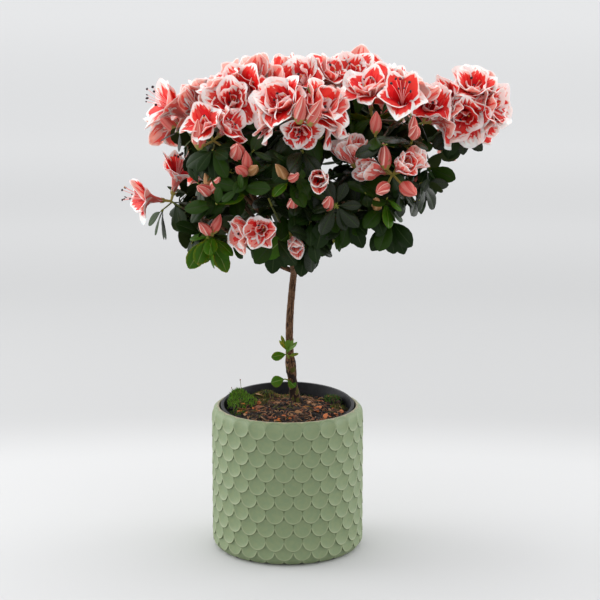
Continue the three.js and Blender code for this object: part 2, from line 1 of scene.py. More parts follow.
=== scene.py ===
# %% [markdown]
# # A standard azalea in flower, in a pot of glazed scales
# The object is a small azalea trained as a tree: a bare stem, a round head of twigs, leaves and double
# flowers, a black grower's pot full of peat, and the cover pot that it stands in. The solids of the
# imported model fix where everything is. This lesson dresses them with what the eye sees: relief,
# petals, leaves at their real size, bark, moss and glaze.

# %% Load the frame
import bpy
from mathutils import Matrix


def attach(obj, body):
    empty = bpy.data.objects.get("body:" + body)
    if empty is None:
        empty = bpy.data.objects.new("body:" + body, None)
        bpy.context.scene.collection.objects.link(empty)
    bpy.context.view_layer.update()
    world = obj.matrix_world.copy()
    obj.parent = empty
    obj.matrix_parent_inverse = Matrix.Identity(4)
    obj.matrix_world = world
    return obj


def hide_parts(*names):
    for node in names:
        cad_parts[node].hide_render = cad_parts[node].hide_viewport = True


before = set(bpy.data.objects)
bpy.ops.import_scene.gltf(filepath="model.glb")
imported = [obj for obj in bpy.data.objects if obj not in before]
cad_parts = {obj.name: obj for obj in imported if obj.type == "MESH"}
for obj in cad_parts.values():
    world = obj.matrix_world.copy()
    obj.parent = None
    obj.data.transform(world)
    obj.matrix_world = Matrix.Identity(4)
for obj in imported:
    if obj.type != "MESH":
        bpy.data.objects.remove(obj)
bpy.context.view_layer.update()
print("nodes in the frame:", len(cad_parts))

# %% Tools and units
import math

import bpy
import numpy as np
from mathutils import Matrix, Vector, noise

MM = 0.001
UP = np.array([0.0, 0.0, 1.0])
scene = bpy.context.scene
scene.view_settings.view_transform = "Standard"
print("shapes are worked out in millimetres and turned into metres when a mesh is made")

# %% [markdown]
# ## The camera
# A still life of a plant is taken from a few steps away with a long lens, so that the pot's rim and
# foot are nearly the same ellipse. A long lens in Blender is a large focal length on the usual sensor.
# The camera comes first because everything later is seen through it.

# %% Camera
CAMERA_PLACE = (0.01186, -2.0, 0.6697)
CAMERA_PITCH = 0.212
LENS_MM, SENSOR_MM = 130.5, 36
camera = bpy.data.objects.new("camera", bpy.data.cameras.new("camera"))
scene.collection.objects.link(camera)
camera.location = CAMERA_PLACE
camera.rotation_euler = (math.pi / 2 - CAMERA_PITCH, 0, 0)
camera.data.lens = LENS_MM
camera.data.sensor_width = SENSOR_MM
scene.camera = camera
print("camera looks down by", round(math.degrees(CAMERA_PITCH), 1), "degrees")

# %% [markdown]
# ## Colours and nodes
# Colours are noted here as numbers from 0 to 255, as a paint box on a screen shows them. A shader
# counts in linear light, so one helper turns the first into the second. Another adds a node with the
# numbers of its sockets, because every finish needs several.


# %% Colours and nodes
def linear(rgb):
    """An sRGB colour of 0 to 255 as the linear numbers that a shader takes."""
    shares = np.array(rgb) / 255
    return np.where(shares <= 0.04045, shares / 12.92, ((shares + 0.055) / 1.055) ** 2.4)


def add_node(nodes, kind, values=None, operation=None):
    """Adds a node, with its operation and the numbers of its sockets by name or place."""
    made = nodes.new(kind)
    if operation:
        made.operation = operation
    for socket, value in (values or {}).items():
        made.inputs[socket].default_value = value
    return made


print("a grey of 128 is", round(float(linear(128)), 3), "in linear light")

# %% [markdown]
# ## The floor
# The plant stands on a white table top that runs off into a pale grey wall. One very large floor does
# for both. Its tone is painted light and shade that changes with the distance from the pot: a painted
# pool of light close to it, painted shade in a wide ring round that, and painted light again far off.
# The tones lie in ovals, twice as wide as they are deep, so that the far floor is one even tone from
# side to side.

# %% Floor
FLOOR_REACH, FLOOR_SIDES = 14.0, 64
TONE_REACH = 10.0
# How far out each tone of painted light and shade lies, as a share of the reach in metres, and the tone
FLOOR_PAINTED_LIGHT_TONES = [
    (0.0, 0.59), (0.028, 0.56), (0.05, 0.455), (0.11, 0.465), (0.18, 0.56), (0.28, 0.65), (0.65, 0.72),
]


def floor_with_painted_light():
    """Matt paper, with light and shade painted into its tone by the distance from the pot."""
    made = bpy.data.materials.new("floor_paper_painted_light")
    made.use_nodes = True
    nodes, links = made.node_tree.nodes, made.node_tree.links
    shader = nodes["Principled BSDF"]
    shader.inputs["Roughness"].default_value = 0.9
    shader.inputs["Specular IOR Level"].default_value = 0.2
    place = add_node(nodes, "ShaderNodeTexCoord")
    flatten = add_node(nodes, "ShaderNodeVectorMath", {1: (0.5, 1, 1)}, "MULTIPLY")
    length = add_node(nodes, "ShaderNodeVectorMath", operation="LENGTH")
    span = add_node(nodes, "ShaderNodeMath", {1: TONE_REACH}, "DIVIDE")
    # The ramp paints the pool of light near the pot and the shade in the ring round it into the paper's
    # colour
    ramp = add_node(nodes, "ShaderNodeValToRGB")
    ramp.color_ramp.interpolation = "EASE"
    stops = ramp.color_ramp.elements
    for number, (at, tone) in enumerate(FLOOR_PAINTED_LIGHT_TONES):
        stop = stops[number] if number < len(stops) else stops.new(at)
        stop.position = at
        stop.color = (tone * 0.992, tone * 0.997, tone, 1)
    links.new(place.outputs["Object"], flatten.inputs[0])
    links.new(flatten.outputs["Vector"], length.inputs[0])
    links.new(length.outputs["Value"], span.inputs[0])
    links.new(span.outputs[0], ramp.inputs["Fac"])
    links.new(ramp.outputs["Color"], shader.inputs["Base Color"])
    return made


floor_mesh = bpy.data.meshes.new("floor")
floor_turns = np.linspace(0, 2 * math.pi, FLOOR_SIDES, endpoint=False)
floor_ring = [(FLOOR_REACH * math.cos(turn), FLOOR_REACH * math.sin(turn), 0) for turn in floor_turns]
floor_mesh.from_pydata(floor_ring, [], [list(range(FLOOR_SIDES))])
floor_mesh.materials.append(floor_with_painted_light())
floor = bpy.data.objects.new("floor", floor_mesh)
scene.collection.objects.link(floor)
print("floor reaches", FLOOR_REACH, "m each way")

# %% [markdown]
# ## The light
# The light is that of a white room: a bright surround, stronger behind the plant and at its sides
# than in front. Where the floor ends, the wall beyond it is seen in the floor's own far tone, so that
# no edge shows. Large soft panels above and at the sides give the leaves and petals their shape.

# %% Surround
WALL_TINT = (0.985, 0.99, 1.0, 1)
FAR_TONE = 0.81
FRONT_STRENGTH, BACK_STRENGTH, MORE_AT_SIDES = 0.72, 1.2, 0.6


def surround():
    """Light from all round that depends on where it comes from; the camera sees one even wall."""
    made = bpy.data.worlds.new("surround")
    made.use_nodes = True
    nodes, links = made.node_tree.nodes, made.node_tree.links
    wall_light = nodes["Background"]
    wall_light.inputs["Color"].default_value = WALL_TINT
    direction = add_node(nodes, "ShaderNodeTexCoord")
    parts = add_node(nodes, "ShaderNodeSeparateXYZ")
    depth = add_node(nodes, "ShaderNodeMapRange", {
        "From Min": -1, "To Min": FRONT_STRENGTH, "To Max": BACK_STRENGTH,
    })
    sideways = add_node(nodes, "ShaderNodeMath", operation="MULTIPLY")
    brighter = add_node(nodes, "ShaderNodeMath", {1: MORE_AT_SIDES}, "MULTIPLY_ADD")
    links.new(direction.outputs["Generated"], parts.inputs[0])
    links.new(parts.outputs["Y"], depth.inputs["Value"])
    links.new(parts.outputs["X"], sideways.inputs[0])
    links.new(parts.outputs["X"], sideways.inputs[1])
    links.new(sideways.outputs[0], brighter.inputs[0])
    links.new(depth.outputs["Result"], brighter.inputs[2])
    links.new(brighter.outputs[0], wall_light.inputs["Strength"])
    wall_seen = add_node(nodes, "ShaderNodeBackground", {"Color": WALL_TINT, "Strength": FAR_TONE})
    rays = add_node(nodes, "ShaderNodeLightPath")
    either = add_node(nodes, "ShaderNodeMixShader")
    links.new(rays.outputs["Is Camera Ray"], either.inputs[0])
    links.new(wall_light.outputs["Background"], either.inputs[1])
    links.new(wall_seen.outputs["Background"], either.inputs[2])
    links.new(either.outputs["Shader"], nodes["World Output"].inputs["Surface"])
    return made


scene.world = surround()
print("surround:", FRONT_STRENGTH, "in front,", BACK_STRENGTH, "behind")

# %% Soft panels
# name, place, size and power of each panel, all in metres and watts
PANELS = [
    ("panel_above", (0.0, 0.3, 1.7), 1.6, 9),
    ("panel_left", (-1.5, 0.3, 0.8), 1.1, 12),
    ("panel_right", (1.6, 0.4, 0.8), 1.0, 7),
]
PANEL_AIM = Vector((0, 0, 0.28))
for name, at, size, power in PANELS:
    light = bpy.data.objects.new(name, bpy.data.lights.new(name, "AREA"))
    scene.collection.objects.link(light)
    light.location = at
    light.rotation_euler = (PANEL_AIM - Vector(at)).to_track_quat("-Z", "Y").to_euler()
    light.data.size = size
    light.data.energy = power
print("soft panels:", len(PANELS))

# %% [markdown]
# ## How shapes are gathered
# A plant has thousands of small shapes. Each as an object of its own would be slow and hard to hand
# on, so they are gathered in a heap of corners and faces, and each heap becomes one mesh. Every face
# keeps a number that picks its finish, which is how a petal gets a red heart and a white edge without
# any picture: the colours are plain, and dealt out face by face.


# %% A heap
class Heap:
    """Many small shapes gathered for one mesh; each face has a number that picks its finish."""

    def __init__(self):
        self.points = []
        self.faces = []
        self.kinds = []
        self.size = 0

    def add(self, points, *parts):
        """Adds corners, with parts of (faces, finish numbers); all faces of a part have as many sides."""
        points = np.asarray(points, float).reshape(-1, 3)
        self.points.append(points)
        for faces, kinds in parts:
            faces = np.asarray(faces).reshape(len(faces), -1)
            self.faces.append(faces + self.size)
            self.kinds.append(np.broadcast_to(np.asarray(kinds).ravel(), len(faces)))
        self.size += len(points)

    def triangles(self):
        return sum(len(faces) * (faces.shape[1] - 2) for faces in self.faces)


print("an empty heap has", Heap().triangles(), "triangles")


# %% A piece
def piece_of(name, heap, finishes, crease=58):
    """Turns a heap into one mesh object that rides on the plant."""
    loops = np.concatenate([faces.ravel() for faces in heap.faces])
    totals = np.concatenate([np.full(len(faces), faces.shape[1]) for faces in heap.faces])
    starts = np.concatenate([[0], np.cumsum(totals)[:-1]])
    points = np.concatenate(heap.points) * MM
    mesh = bpy.data.meshes.new(name)
    mesh.vertices.add(len(points))
    mesh.vertices.foreach_set("co", points.ravel())
    mesh.loops.add(len(loops))
    mesh.loops.foreach_set("vertex_index", loops.astype(np.int32))
    mesh.polygons.add(len(totals))
    mesh.polygons.foreach_set("loop_start", starts.astype(np.int32))
    for finish in finishes:
        mesh.materials.append(finish)
    mesh.polygons.foreach_set("material_index", np.concatenate(heap.kinds).astype(np.int32))
    mesh.update(calc_edges=True)
    mesh.validate()
    mesh.shade_smooth()
    mesh.set_sharp_from_angle(angle=math.radians(crease))
    piece = bpy.data.objects.new(name, mesh)
    scene.collection.objects.link(piece)
    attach(piece, "root")
    print(name, heap.triangles(), "triangles")
    return piece


print("a piece is one mesh, and rides on the body root")


# %% Ways and faces
def grid_faces(rows, columns, closed=False):
    """Quads of a grid of corners numbered row by row; closed joins the last column to the first."""
    wide = columns if closed else columns - 1
    i, j = np.meshgrid(np.arange(rows - 1), np.arange(wide), indexing="ij")
    k = (j + 1) % columns
    low, high = i * columns, (i + 1) * columns
    return np.stack([low + j, low + k, high + k, high + j], -1).reshape(-1, 4)


def unit(v):
    """A way of length one."""
    return v / np.linalg.norm(v)


def smooth(share):
    """A share from 0 to 1 that starts and ends gently."""
    share = np.clip(share, 0, 1)
    return share * share * (3 - 2 * share)


def square_to(axis, hint=None):
    """Two unit ways square to an axis, the first as near to the hint as it can be."""
    if hint is None:
        hint = np.array([1.0, 0, 0]) if abs(axis[2]) > 0.9 else UP
    first = unit(hint - axis * np.dot(hint, axis))
    return first, np.cross(axis, first)


def leaning(axis, lean, turn):
    """A way that leans from an axis by one angle, turned round it by another."""
    a, b = square_to(axis)
    side = math.cos(turn) * a + math.sin(turn) * b
    return math.cos(lean) * axis + math.sin(lean) * side


def heading(azimuth, elevation):
    """A way by its compass angle from the X axis and its angle above the level, in degrees."""
    a, e = math.radians(azimuth), math.radians(elevation)
    return np.array([math.cos(e) * math.cos(a), math.cos(e) * math.sin(a), math.sin(e)])


print("a grid of 3 by 4 corners has", len(grid_faces(3, 4)), "faces")

# %% [markdown]
# ## Lines and round limbs
# Stem, boughs, twigs, stalks and stamens are round and follow a bent line. A curve with a bevel could
# draw them, but then their corners couldn't be moved or coloured one by one. So a line here gives a
# ring of corners at each step, and rings that follow each other are joined with faces.


# %% Lines
class Line:
    """A smooth line of points, read by the share of its length."""

    def __init__(self, points):
        self.points = np.asarray(points, float)
        steps = np.linalg.norm(np.diff(self.points, axis=0), axis=1)
        reach = np.concatenate([[0], np.cumsum(steps)])
        self.length = reach[-1]
        self.shares = reach / self.length

    def at(self, share):
        return np.stack([np.interp(share, self.shares, self.points[:, k]) for k in range(3)], -1)

    def way(self, share):
        return unit(self.at(min(1, share + 0.02)) - self.at(max(0, share - 0.02)))

    def frames(self, steps):
        """At equal steps the share, the place and two ways square to the line, without a twist."""
        hint = square_to(unit(self.at(1) - self.at(0)))[0]
        for share in np.linspace(0, 1, steps + 1):
            yield share, self.at(share), square_to(self.way(share), hint)


def bezier(start, bend, end, steps=24):
    """A line from start to end that is pulled towards the bend."""
    t = np.linspace(0, 1, steps + 1)[:, None]
    return Line((1 - t) ** 2 * start + 2 * t * (1 - t) * bend + t * t * end)


print("a straight line of 5 mm is", Line([(0, 0, 0), (3, 4, 0)]).length, "mm long")


# %% Closed shapes
def ring_of(middle, radius, angles, ways):
    """A ring of corners round a middle, in the plane of two ways."""
    a, b = ways
    return middle + np.outer(np.cos(angles) * radius, a) + np.outer(np.sin(angles) * radius, b)


def close_rings(heap, rings, kinds, end_kinds):
    """A closed shape from rings of corners (rings, corners, 3), capped at both ends."""
    count, sides = rings.shape[:2]
    ends = np.array([np.arange(sides)[::-1], (count - 1) * sides + np.arange(sides)])
    heap.add(rings, (grid_faces(count, sides, True), kinds), (ends, end_kinds))


def tube(heap, line, radius_at, sides, steps, kinds):
    """A closed round limb along a line, whose radius depends on the share of its length."""
    angles = np.linspace(0, 2 * math.pi, sides, endpoint=False)
    rings = [ring_of(middle, radius_at(share), angles, ways) for share, middle, ways in line.frames(steps)]
    kinds = np.broadcast_to(np.asarray(kinds).ravel(), sides * steps)
    close_rings(heap, np.array(rings), kinds, kinds[[0, -1]])


rod = Heap()
tube(rod, Line([(0, 0, 0), (0, 0, 9)]), lambda share: 1.0, 6, 3, 0)
print("a rod of six sides and three steps has", rod.triangles(), "triangles")

# %% [markdown]
# ## Finishes
# Every finish is a Principled shader in one plain colour. A fine noise changes its gloss from place
# to place and gives its surface a grain of the real size, such as the tooth of matt glaze, the cells
# of a petal or the pores of bark.


# %% A finish
GLOSS_SPREAD = 0.08
GLOW_TINT, GLOW_DEPTH = (1.0, 0.45, 0.4), 2.5 * MM


def add_patches(made, place, rgb, mottle, grain):
    """Changes the plain colour to one with soft patches of another, each several grains wide."""
    nodes, links = made.node_tree.nodes, made.node_tree.links
    patches = add_node(nodes, "ShaderNodeTexNoise", {"Scale": 1 / (6 * grain * MM), "Detail": 4})
    edge = add_node(nodes, "ShaderNodeMapRange", {"From Min": 0.4, "From Max": 0.62})
    blend = nodes.new("ShaderNodeMix")
    blend.data_type = "RGBA"
    blend.inputs["A"].default_value = (*linear(rgb), 1)
    blend.inputs["B"].default_value = (*linear(mottle), 1)
    links.new(place.outputs["Object"], patches.inputs["Vector"])
    links.new(patches.outputs["Fac"], edge.inputs["Value"])
    links.new(edge.outputs["Result"], blend.inputs["Factor"])
    links.new(blend.outputs["Result"], nodes["Principled BSDF"].inputs["Base Color"])


def finish(name, rgb, rough, grain, relief, mottle=None, level=0.5, glow=0.0):
    """grain is its size in mm, relief how deep it looks, mottle a second colour, glow light let in."""
    made = bpy.data.materials.new(name)
    made.use_nodes = True
    nodes, links = made.node_tree.nodes, made.node_tree.links
    shader = nodes["Principled BSDF"]
    shader.inputs["Base Color"].default_value = (*linear(rgb), 1)
    shader.inputs["Specular IOR Level"].default_value = level
    shader.inputs["Subsurface Weight"].default_value = glow
    shader.inputs["Subsurface Radius"].default_value = GLOW_TINT
    shader.inputs["Subsurface Scale"].default_value = GLOW_DEPTH
    place = add_node(nodes, "ShaderNodeTexCoord")
    pattern = add_node(nodes, "ShaderNodeTexNoise", {"Scale": 1 / (grain * MM), "Detail": 3})
    gloss = add_node(nodes, "ShaderNodeMapRange", {
        "From Min": 0.3, "From Max": 0.7,
        "To Min": rough - GLOSS_SPREAD, "To Max": min(1, rough + GLOSS_SPREAD),
    })
    bump = add_node(nodes, "ShaderNodeBump", {"Strength": relief, "Distance": grain * MM * 0.25})
    links.new(place.outputs["Object"], pattern.inputs["Vector"])
    links.new(pattern.outputs["Fac"], gloss.inputs["Value"])
    links.new(gloss.outputs["Result"], shader.inputs["Roughness"])
    links.new(pattern.outputs["Fac"], bump.inputs["Height"])
    links.new(bump.outputs["Normal"], shader.inputs["Normal"])
    if mottle:
        add_patches(made, place, rgb, mottle, grain)
    return made


GLAZES = [
    finish("glaze_sage", (126, 140, 102), 0.5, 0.7, 0.25, mottle=(120, 137, 101)),
    finish("glaze_thin_on_crest", (139, 150, 115), 0.46, 0.7, 0.2),
    # A darker glaze that is painted shade, on the step under each scale's overhanging edge
    finish("glaze_painted_shade_in_groove", (100, 115, 77), 0.5, 0.7, 0.2),
    finish("clay_at_the_lip", (154, 149, 121), 0.6, 0.5, 0.3),
]
BODY, CREST, SHADE_UNDER_EDGE, LIP = range(len(GLAZES))
PLASTICS = [finish("grower_pot_plastic", (18, 19, 22), 0.5, 0.9, 0.35, mottle=(27, 28, 31), level=0.2)]
print("glazes:", len(GLAZES))

# %% [markdown]
# ## The cover pot
# The real pot is slip-cast stoneware with a satin glaze. Its wall is covered by rows of round scales,
# each row hanging over the one below, like tiles or the scales of a fish. A bump map would leave the
# outline straight, so the relief is real: the rings of a turned shape are bent to follow the scalloped
# edges of the rows, which keeps each edge sharp with few faces.

# %% The pot's wall
POT_RADIUS, POT_HEIGHT, POT_MOUTH, POT_CORNER, POT_SHOULDER = 72, 138, 64.8, 10, 9
POT_INSIDE, POT_FLOOR = 67, 9
quarter = np.linspace(0, math.pi / 2, 13)
lip = POT_MOUTH + 1
wall_r = np.concatenate([
    lip + (POT_RADIUS - lip) * np.sin(quarter),
    POT_RADIUS - POT_CORNER + POT_CORNER * np.cos(quarter),
])
wall_z = np.concatenate([
    POT_HEIGHT - POT_SHOULDER + POT_SHOULDER * np.cos(quarter),
    POT_CORNER - POT_CORNER * np.sin(quarter),
])
wall = Line(np.stack([wall_r, np.zeros_like(wall_r), wall_z], -1))
print("from lip to foot the wall is", round(wall.length, 1), "mm long")


def pot_wall(angles, along, height):
    """Corners on the pot's outer wall at a length down from its lip, raised by a height."""
    share = along / wall.length
    place = wall.at(share)
    step = wall.at(np.clip(share + 0.004, 0, 1)) - wall.at(np.clip(share - 0.004, 0, 1))
    step /= np.linalg.norm(step, axis=-1, keepdims=True)
    radius = place[..., 0] - step[..., 2] * height
    z = place[..., 2] + step[..., 0] * height
    return np.stack([radius * np.cos(angles), radius * np.sin(angles), z], -1)


# %% The rows of scales
SCALES_ROUND = 26
ROW_PITCH, FIRST_EDGE = 13.35, 19.6
LAST_EDGE = FIRST_EDGE + ROW_PITCH * 8
FIRST_SCALE = math.radians(-90 + 4.5)
BOWL_DEPTH, RIM_RAISE, LEAN_OUT, DROP_BELOW = 1.3, 0.28, 0.32, 0.75
# Each row: how far down the wall its scales' lowest points are, and its turn in widths of a scale
ROWS = [(FIRST_EDGE + ROW_PITCH * k, 0.5 * (k % 2)) for k in range(9)]
ROWS += [(LAST_EDGE + 9.2, 0.5), (LAST_EDGE + 17, 0)]

# Columns stand closer together where two scales touch, because the edge is steepest there
half_scale = np.array([0, 0.035, 0.09, 0.17, 0.29, 0.43, 0.57, 0.71, 0.83, 0.91, 0.965])
one_scale = np.concatenate([half_scale, 1 + half_scale]) / 2
columns = np.concatenate([k + one_scale for k in range(SCALES_ROUND)])
POT_ANGLES = FIRST_SCALE + columns * 2 * math.pi / SCALES_ROUND


def scales(row):
    """For a row: the places across the nearest scale, its radius, and how far down its middle is."""
    edge, turn = row
    radius = wall.at(min(edge, wall.length) / wall.length)[0]
    half = math.pi * radius / SCALES_ROUND
    across = ((POT_ANGLES - FIRST_SCALE) * SCALES_ROUND / (2 * math.pi) - turn + 0.5) % 1 - 0.5
    return across * 2 * half, half, edge - half


def scale_relief(along, row):
    """The height in mm of a row's scales: shallow bowls that lean out downwards, with a fine rim."""
    across, half, middle = scales(row)
    out = np.hypot(across, along - middle) / half
    bowl = -BOWL_DEPTH * np.clip(1 - out * out, 0, 1)
    rim = RIM_RAISE * np.exp(-(((out - 0.93) / 0.06) ** 2))
    lean = LEAN_OUT * np.clip((along - middle) / half, -1, 1)
    return bowl + rim + lean - DROP_BELOW * smooth((out - 0.99) / 0.1)


print("rows of scales:", len(ROWS), "with", SCALES_ROUND, "round the pot")

# %% One row of scales
LEAST_STEP = 0.07
# The rings at a scale's lower edge: their share of its radius, and the finish below each. Below the
# last ring is painted shade, where the scale overhangs the row below
EDGE_RINGS = ((0.86, CREST), (0.92, CREST), (0.975, BODY), (1, SHADE_UNDER_EDGE))


def row_rings(row, above):
    """A row's rings as lengths down the wall, with the finish below each, from the row above downwards."""
    across, half, middle = scales(row)

    def arc(share):
        return np.sqrt(np.maximum((share * half) ** 2 - across * across, 0))

    top = np.maximum(above + 0.45, middle - arc(1))
    crest = middle + arc(0.86)
    # The strip just under the edge of the row above gets the painted shade of that overhang
    rings = [(above + 0.12, SHADE_UNDER_EDGE)]
    rings += [(top + (crest - top) * share, BODY) for share in (0, 0.2, 0.4, 0.6, 0.8)]
    rings += [(middle + arc(share), kind) for share, kind in EDGE_RINGS]
    along = above
    for ring, kind in rings:
        along = np.maximum(ring, along + LEAST_STEP)
        yield along, kind


first_row = list(row_rings(ROWS[1], np.full(len(POT_ANGLES), ROWS[0][0])))
print("a row of scales is drawn by", len(first_row), "rings of", len(POT_ANGLES), "corners")


# %% The whole cover pot
def outer_rings():
    """The rings of the outer wall from the lip to the foot, and the finish below each."""
    across, half, middle = scales(ROWS[0])
    top = middle - np.sqrt(np.maximum(half * half - across * across, 0.1))
    rings, kinds = [], []
    for share in (0, 0.3, 0.6, 0.9):
        rings.append(pot_wall(POT_ANGLES, top * share, np.full(len(top), -0.15 if share else 0)))
        kinds.append(BODY if share else LIP)
    above = top
    for row in ROWS:
        for along, kind in row_rings(row, above):
            calm = np.clip((wall.length - along) / 5, 0, 1)
            rings.append(pot_wall(POT_ANGLES, along, (scale_relief(along, row) - 0.3) * calm))
            kinds.append(kind)
        above = along
    return rings, kinds


def turned(r, z):
    """A level ring with the same columns as the scales."""
    return np.stack([r * np.cos(POT_ANGLES), r * np.sin(POT_ANGLES), np.full(len(POT_ANGLES), z)], -1)


def whole_pot():
    rings, kinds = outer_rings()
    foot = POT_RADIUS - POT_CORNER
    inner = [turned(POT_INSIDE, POT_FLOOR), turned(POT_INSIDE, POT_HEIGHT - 2 * POT_SHOULDER),
             turned(POT_MOUTH, POT_HEIGHT - POT_SHOULDER), turned(POT_MOUTH, POT_HEIGHT - 1),
             turned(POT_MOUTH + 0.35, POT_HEIGHT - 0.25)]
    under = [turned(foot, 0), turned(foot - 8, 0), turned(foot - 9.5, 1.4)]
    bands = [BODY, BODY, BODY, LIP, LIP, *kinds, LIP, LIP]
    heap = Heap()
    close_rings(heap, np.array([*inner, *rings, *under])[::-1], np.repeat(bands[::-1], len(POT_ANGLES)),
                [LIP, BODY])
    return heap


pot = piece_of("cover_pot_scales", whole_pot(), GLAZES, crease=80)
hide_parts("cover_pot")

# %% [markdown]
# ## The grower's pot
# Inside stands the thin black pot that the plant was sold in, leaning a little, so that its back rim
# shows above the peat. It is injection-moulded: thin, with a thicker rolled band at the rim. It is
# turned from one profile with enough sides to look round.

# %% Grower's pot
LINER_HEIGHT, LINER_RIM, LINER_TOP, LINER_BASE, LINER_WALL = 126, 63.4, 61.5, 46, 1.3
LINER_TILT = math.radians(5)
LINER_PLACE = np.array([0, LINER_HEIGHT * math.sin(LINER_TILT), 9.3 + LINER_BASE * math.sin(LINER_TILT)])


def liner_frame(points):
    """Points of the upright grower's pot, leaned and put in their place."""
    x, y, z = np.moveaxis(points, -1, 0)
    c, s = math.cos(LINER_TILT), math.sin(LINER_TILT)
    return np.stack([x, y * c - z * s, y * s + z * c], -1) + LINER_PLACE


def liner_radius(height):
    return LINER_BASE + (LINER_TOP - LINER_BASE) * height / LINER_HEIGHT


def grower_pot():
    band, middle = LINER_HEIGHT - 6, 60
    inside = LINER_TOP - LINER_WALL
    profile = [
        (LINER_BASE - 2, 0.0), (LINER_BASE, 0.6), (liner_radius(middle), middle),
        (liner_radius(band) - 0.4, band), (LINER_RIM - 0.5, band), (LINER_RIM, band + 0.6),
        (LINER_RIM, LINER_HEIGHT - 0.7), (LINER_RIM - 0.7, LINER_HEIGHT), (inside + 0.4, LINER_HEIGHT),
        (inside, LINER_HEIGHT - 0.6), (liner_radius(middle) - LINER_WALL, middle),
        (LINER_BASE - LINER_WALL, LINER_WALL),
    ]
    angles = np.linspace(0, 2 * math.pi, 112, endpoint=False)
    rings = np.array([[(r * math.cos(a), r * math.sin(a), z) for a in angles] for r, z in profile])
    heap = Heap()
    close_rings(heap, liner_frame(rings), 0, 0)
    return heap


liner = piece_of("grower_pot_shell", grower_pot(), PLASTICS, crease=40)
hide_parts("grower_pot")

# %% [markdown]
# ## Peat, litter and moss
# The top of the peat is rough: crumbs, bits of dry leaf and root, and cushions of moss where it stays
# damp. The ground itself is a grid whose heights are moved by noise. Crumbs, leaf scraps and moss are
# small meshes scattered over it by a seeded dice, so that each run gives the same ground.

# %% Peat
SOIL_EDGE, SOIL_MOUND, SOIL_UNDERSIDE = 130, 7, 105.0
# Cushions of moss: their middle, radius and height
CUSHIONS = [((-44, 6), 15, 9), ((-24, 40), 13, 6), ((44, 26), 9, 6)]
SOILS = [
    finish("peat_wet", (30, 21, 15), 0.9, 0.8, 0.8),
    finish("peat_crumb", (54, 38, 26), 0.92, 0.6, 0.8),
    finish("peat_dark", (17, 12, 9), 0.85, 0.6, 0.8),
    finish("bark_chip", (84, 58, 38), 0.85, 0.5, 0.7),
    finish("leaf_litter_orange", (184, 94, 22), 0.6, 0.5, 0.5),
    finish("leaf_litter_brown", (120, 62, 30), 0.7, 0.5, 0.5),
    finish("leaf_litter_pale", (158, 112, 72), 0.7, 0.5, 0.5),
    finish("litter_green", (120, 134, 70), 0.6, 0.5, 0.4),
    finish("moss_bright", (98, 144, 18), 0.7, 0.4, 0.5),
    finish("moss_green", (50, 86, 14), 0.75, 0.4, 0.5),
    finish("moss_olive", (96, 92, 26), 0.8, 0.4, 0.5),
    finish("moss_dark", (26, 42, 12), 0.8, 0.4, 0.5),
]
WET_PEAT, CRUMB, DARK_PEAT, CHIP, *SCRAP_TONES = range(8)
ORANGE_SCRAP, BROWN_SCRAP, PALE_SCRAP, GREEN_SCRAP = SCRAP_TONES
MOSS_TONES = range(8, len(SOILS))


def soil_height(x, y):
    """The height of the smooth mound and its cushions at a place."""
    mound = SOIL_MOUND * (1 - (x * x + y * y) / (LINER_TOP * LINER_TOP))
    cushion = 0.0
    for (cx, cy), radius, height in CUSHIONS:
        share = math.hypot(x - cx, y - cy) / radius
        if share < 1:
            cushion = max(cushion, height * math.sqrt(1 - share * share))
    return SOIL_EDGE + mound + cushion


def ground(x, y):
    """The height of the rough peat at a place."""
    rough = 1.5 * noise.noise(Vector((x / 9, y / 9, 3))) + 0.8 * noise.noise(Vector((x / 3, y / 3, 7)))
    return soil_height(x, y) + rough


SOIL_REACH = liner_radius(SOIL_EDGE - LINER_PLACE[2]) - LINER_WALL - 0.5
SOIL_MIDDLE = liner_frame(np.array([0.0, 0.0, SOIL_EDGE - LINER_PLACE[2]]))[:2]


def on_soil(angle, radius):
    """A place on the peat by its angle and its distance from the middle."""
    return SOIL_MIDDLE + radius * np.array([math.cos(angle), math.sin(angle)])


def peat():
    turns = np.linspace(0, 2 * math.pi, 140, endpoint=False)
    rings = []
    for share in (1.0, 0.97, *np.linspace(0.93, 0.05, 30)):
        ring = []
        for turn in turns:
            x, y = on_soil(turn, SOIL_REACH * share)
            ring.append((x, y, ground(x, y) if share < 1 else soil_height(x, y) - 2))
        rings.append(ring)
    low = [(x * 0.96, y * 0.96, SOIL_UNDERSIDE) for x, y, _ in rings[0]]
    heap = Heap()
    close_rings(heap, np.array([low, *rings]), WET_PEAT, WET_PEAT)
    return heap


peat_piece = piece_of("peat", peat(), SOILS, crease=80)
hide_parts("soil")

# %% [markdown]
# ## A dice that always rolls the same
# Chance makes a plant look grown, but the shapes have to come out the same each time. So the dice is
# a short sum that starts from a seed, the same sum that the solids were grown by.

# %% A seeded dice
def seeded(seed):
    """The same repeatable row of numbers that the solids were grown by."""
    state = seed

    def roll():
        nonlocal state
        state = (state * 1664525 + 1013904223) % 2**32
        return state / 2**32

    return roll


print("first rolls:", [round(seeded(seed)(), 3) for seed in (101, 118)])

# %% Lumps
golden = (1 + 5**0.5) / 2
LUMP_CORNERS = np.array(
    [(s, t * golden, 0) for s in (-1, 1) for t in (-1, 1)]
    + [(0, s, t * golden) for s in (-1, 1) for t in (-1, 1)]
    + [(t * golden, 0, s) for s in (-1, 1) for t in (-1, 1)]
) / math.hypot(1, golden)


def lump_faces():
    """The twenty faces of the lump, each three corners that lie next to each other."""
    near = np.linalg.norm(LUMP_CORNERS[:, None] - LUMP_CORNERS[None], axis=-1) < 1.2
    faces = []
    for a in range(12):
        for b in range(a + 1, 12):
            for c in range(b + 1, 12):
                if near[a, b] and near[b, c] and near[a, c]:
                    p, q, r = LUMP_CORNERS[[a, b, c]]
                    out = np.dot(np.cross(q - p, r - p), p + q + r) > 0
                    faces.append((a, b, c) if out else (a, c, b))
    return np.array(faces)


LUMP_FACES = lump_faces()


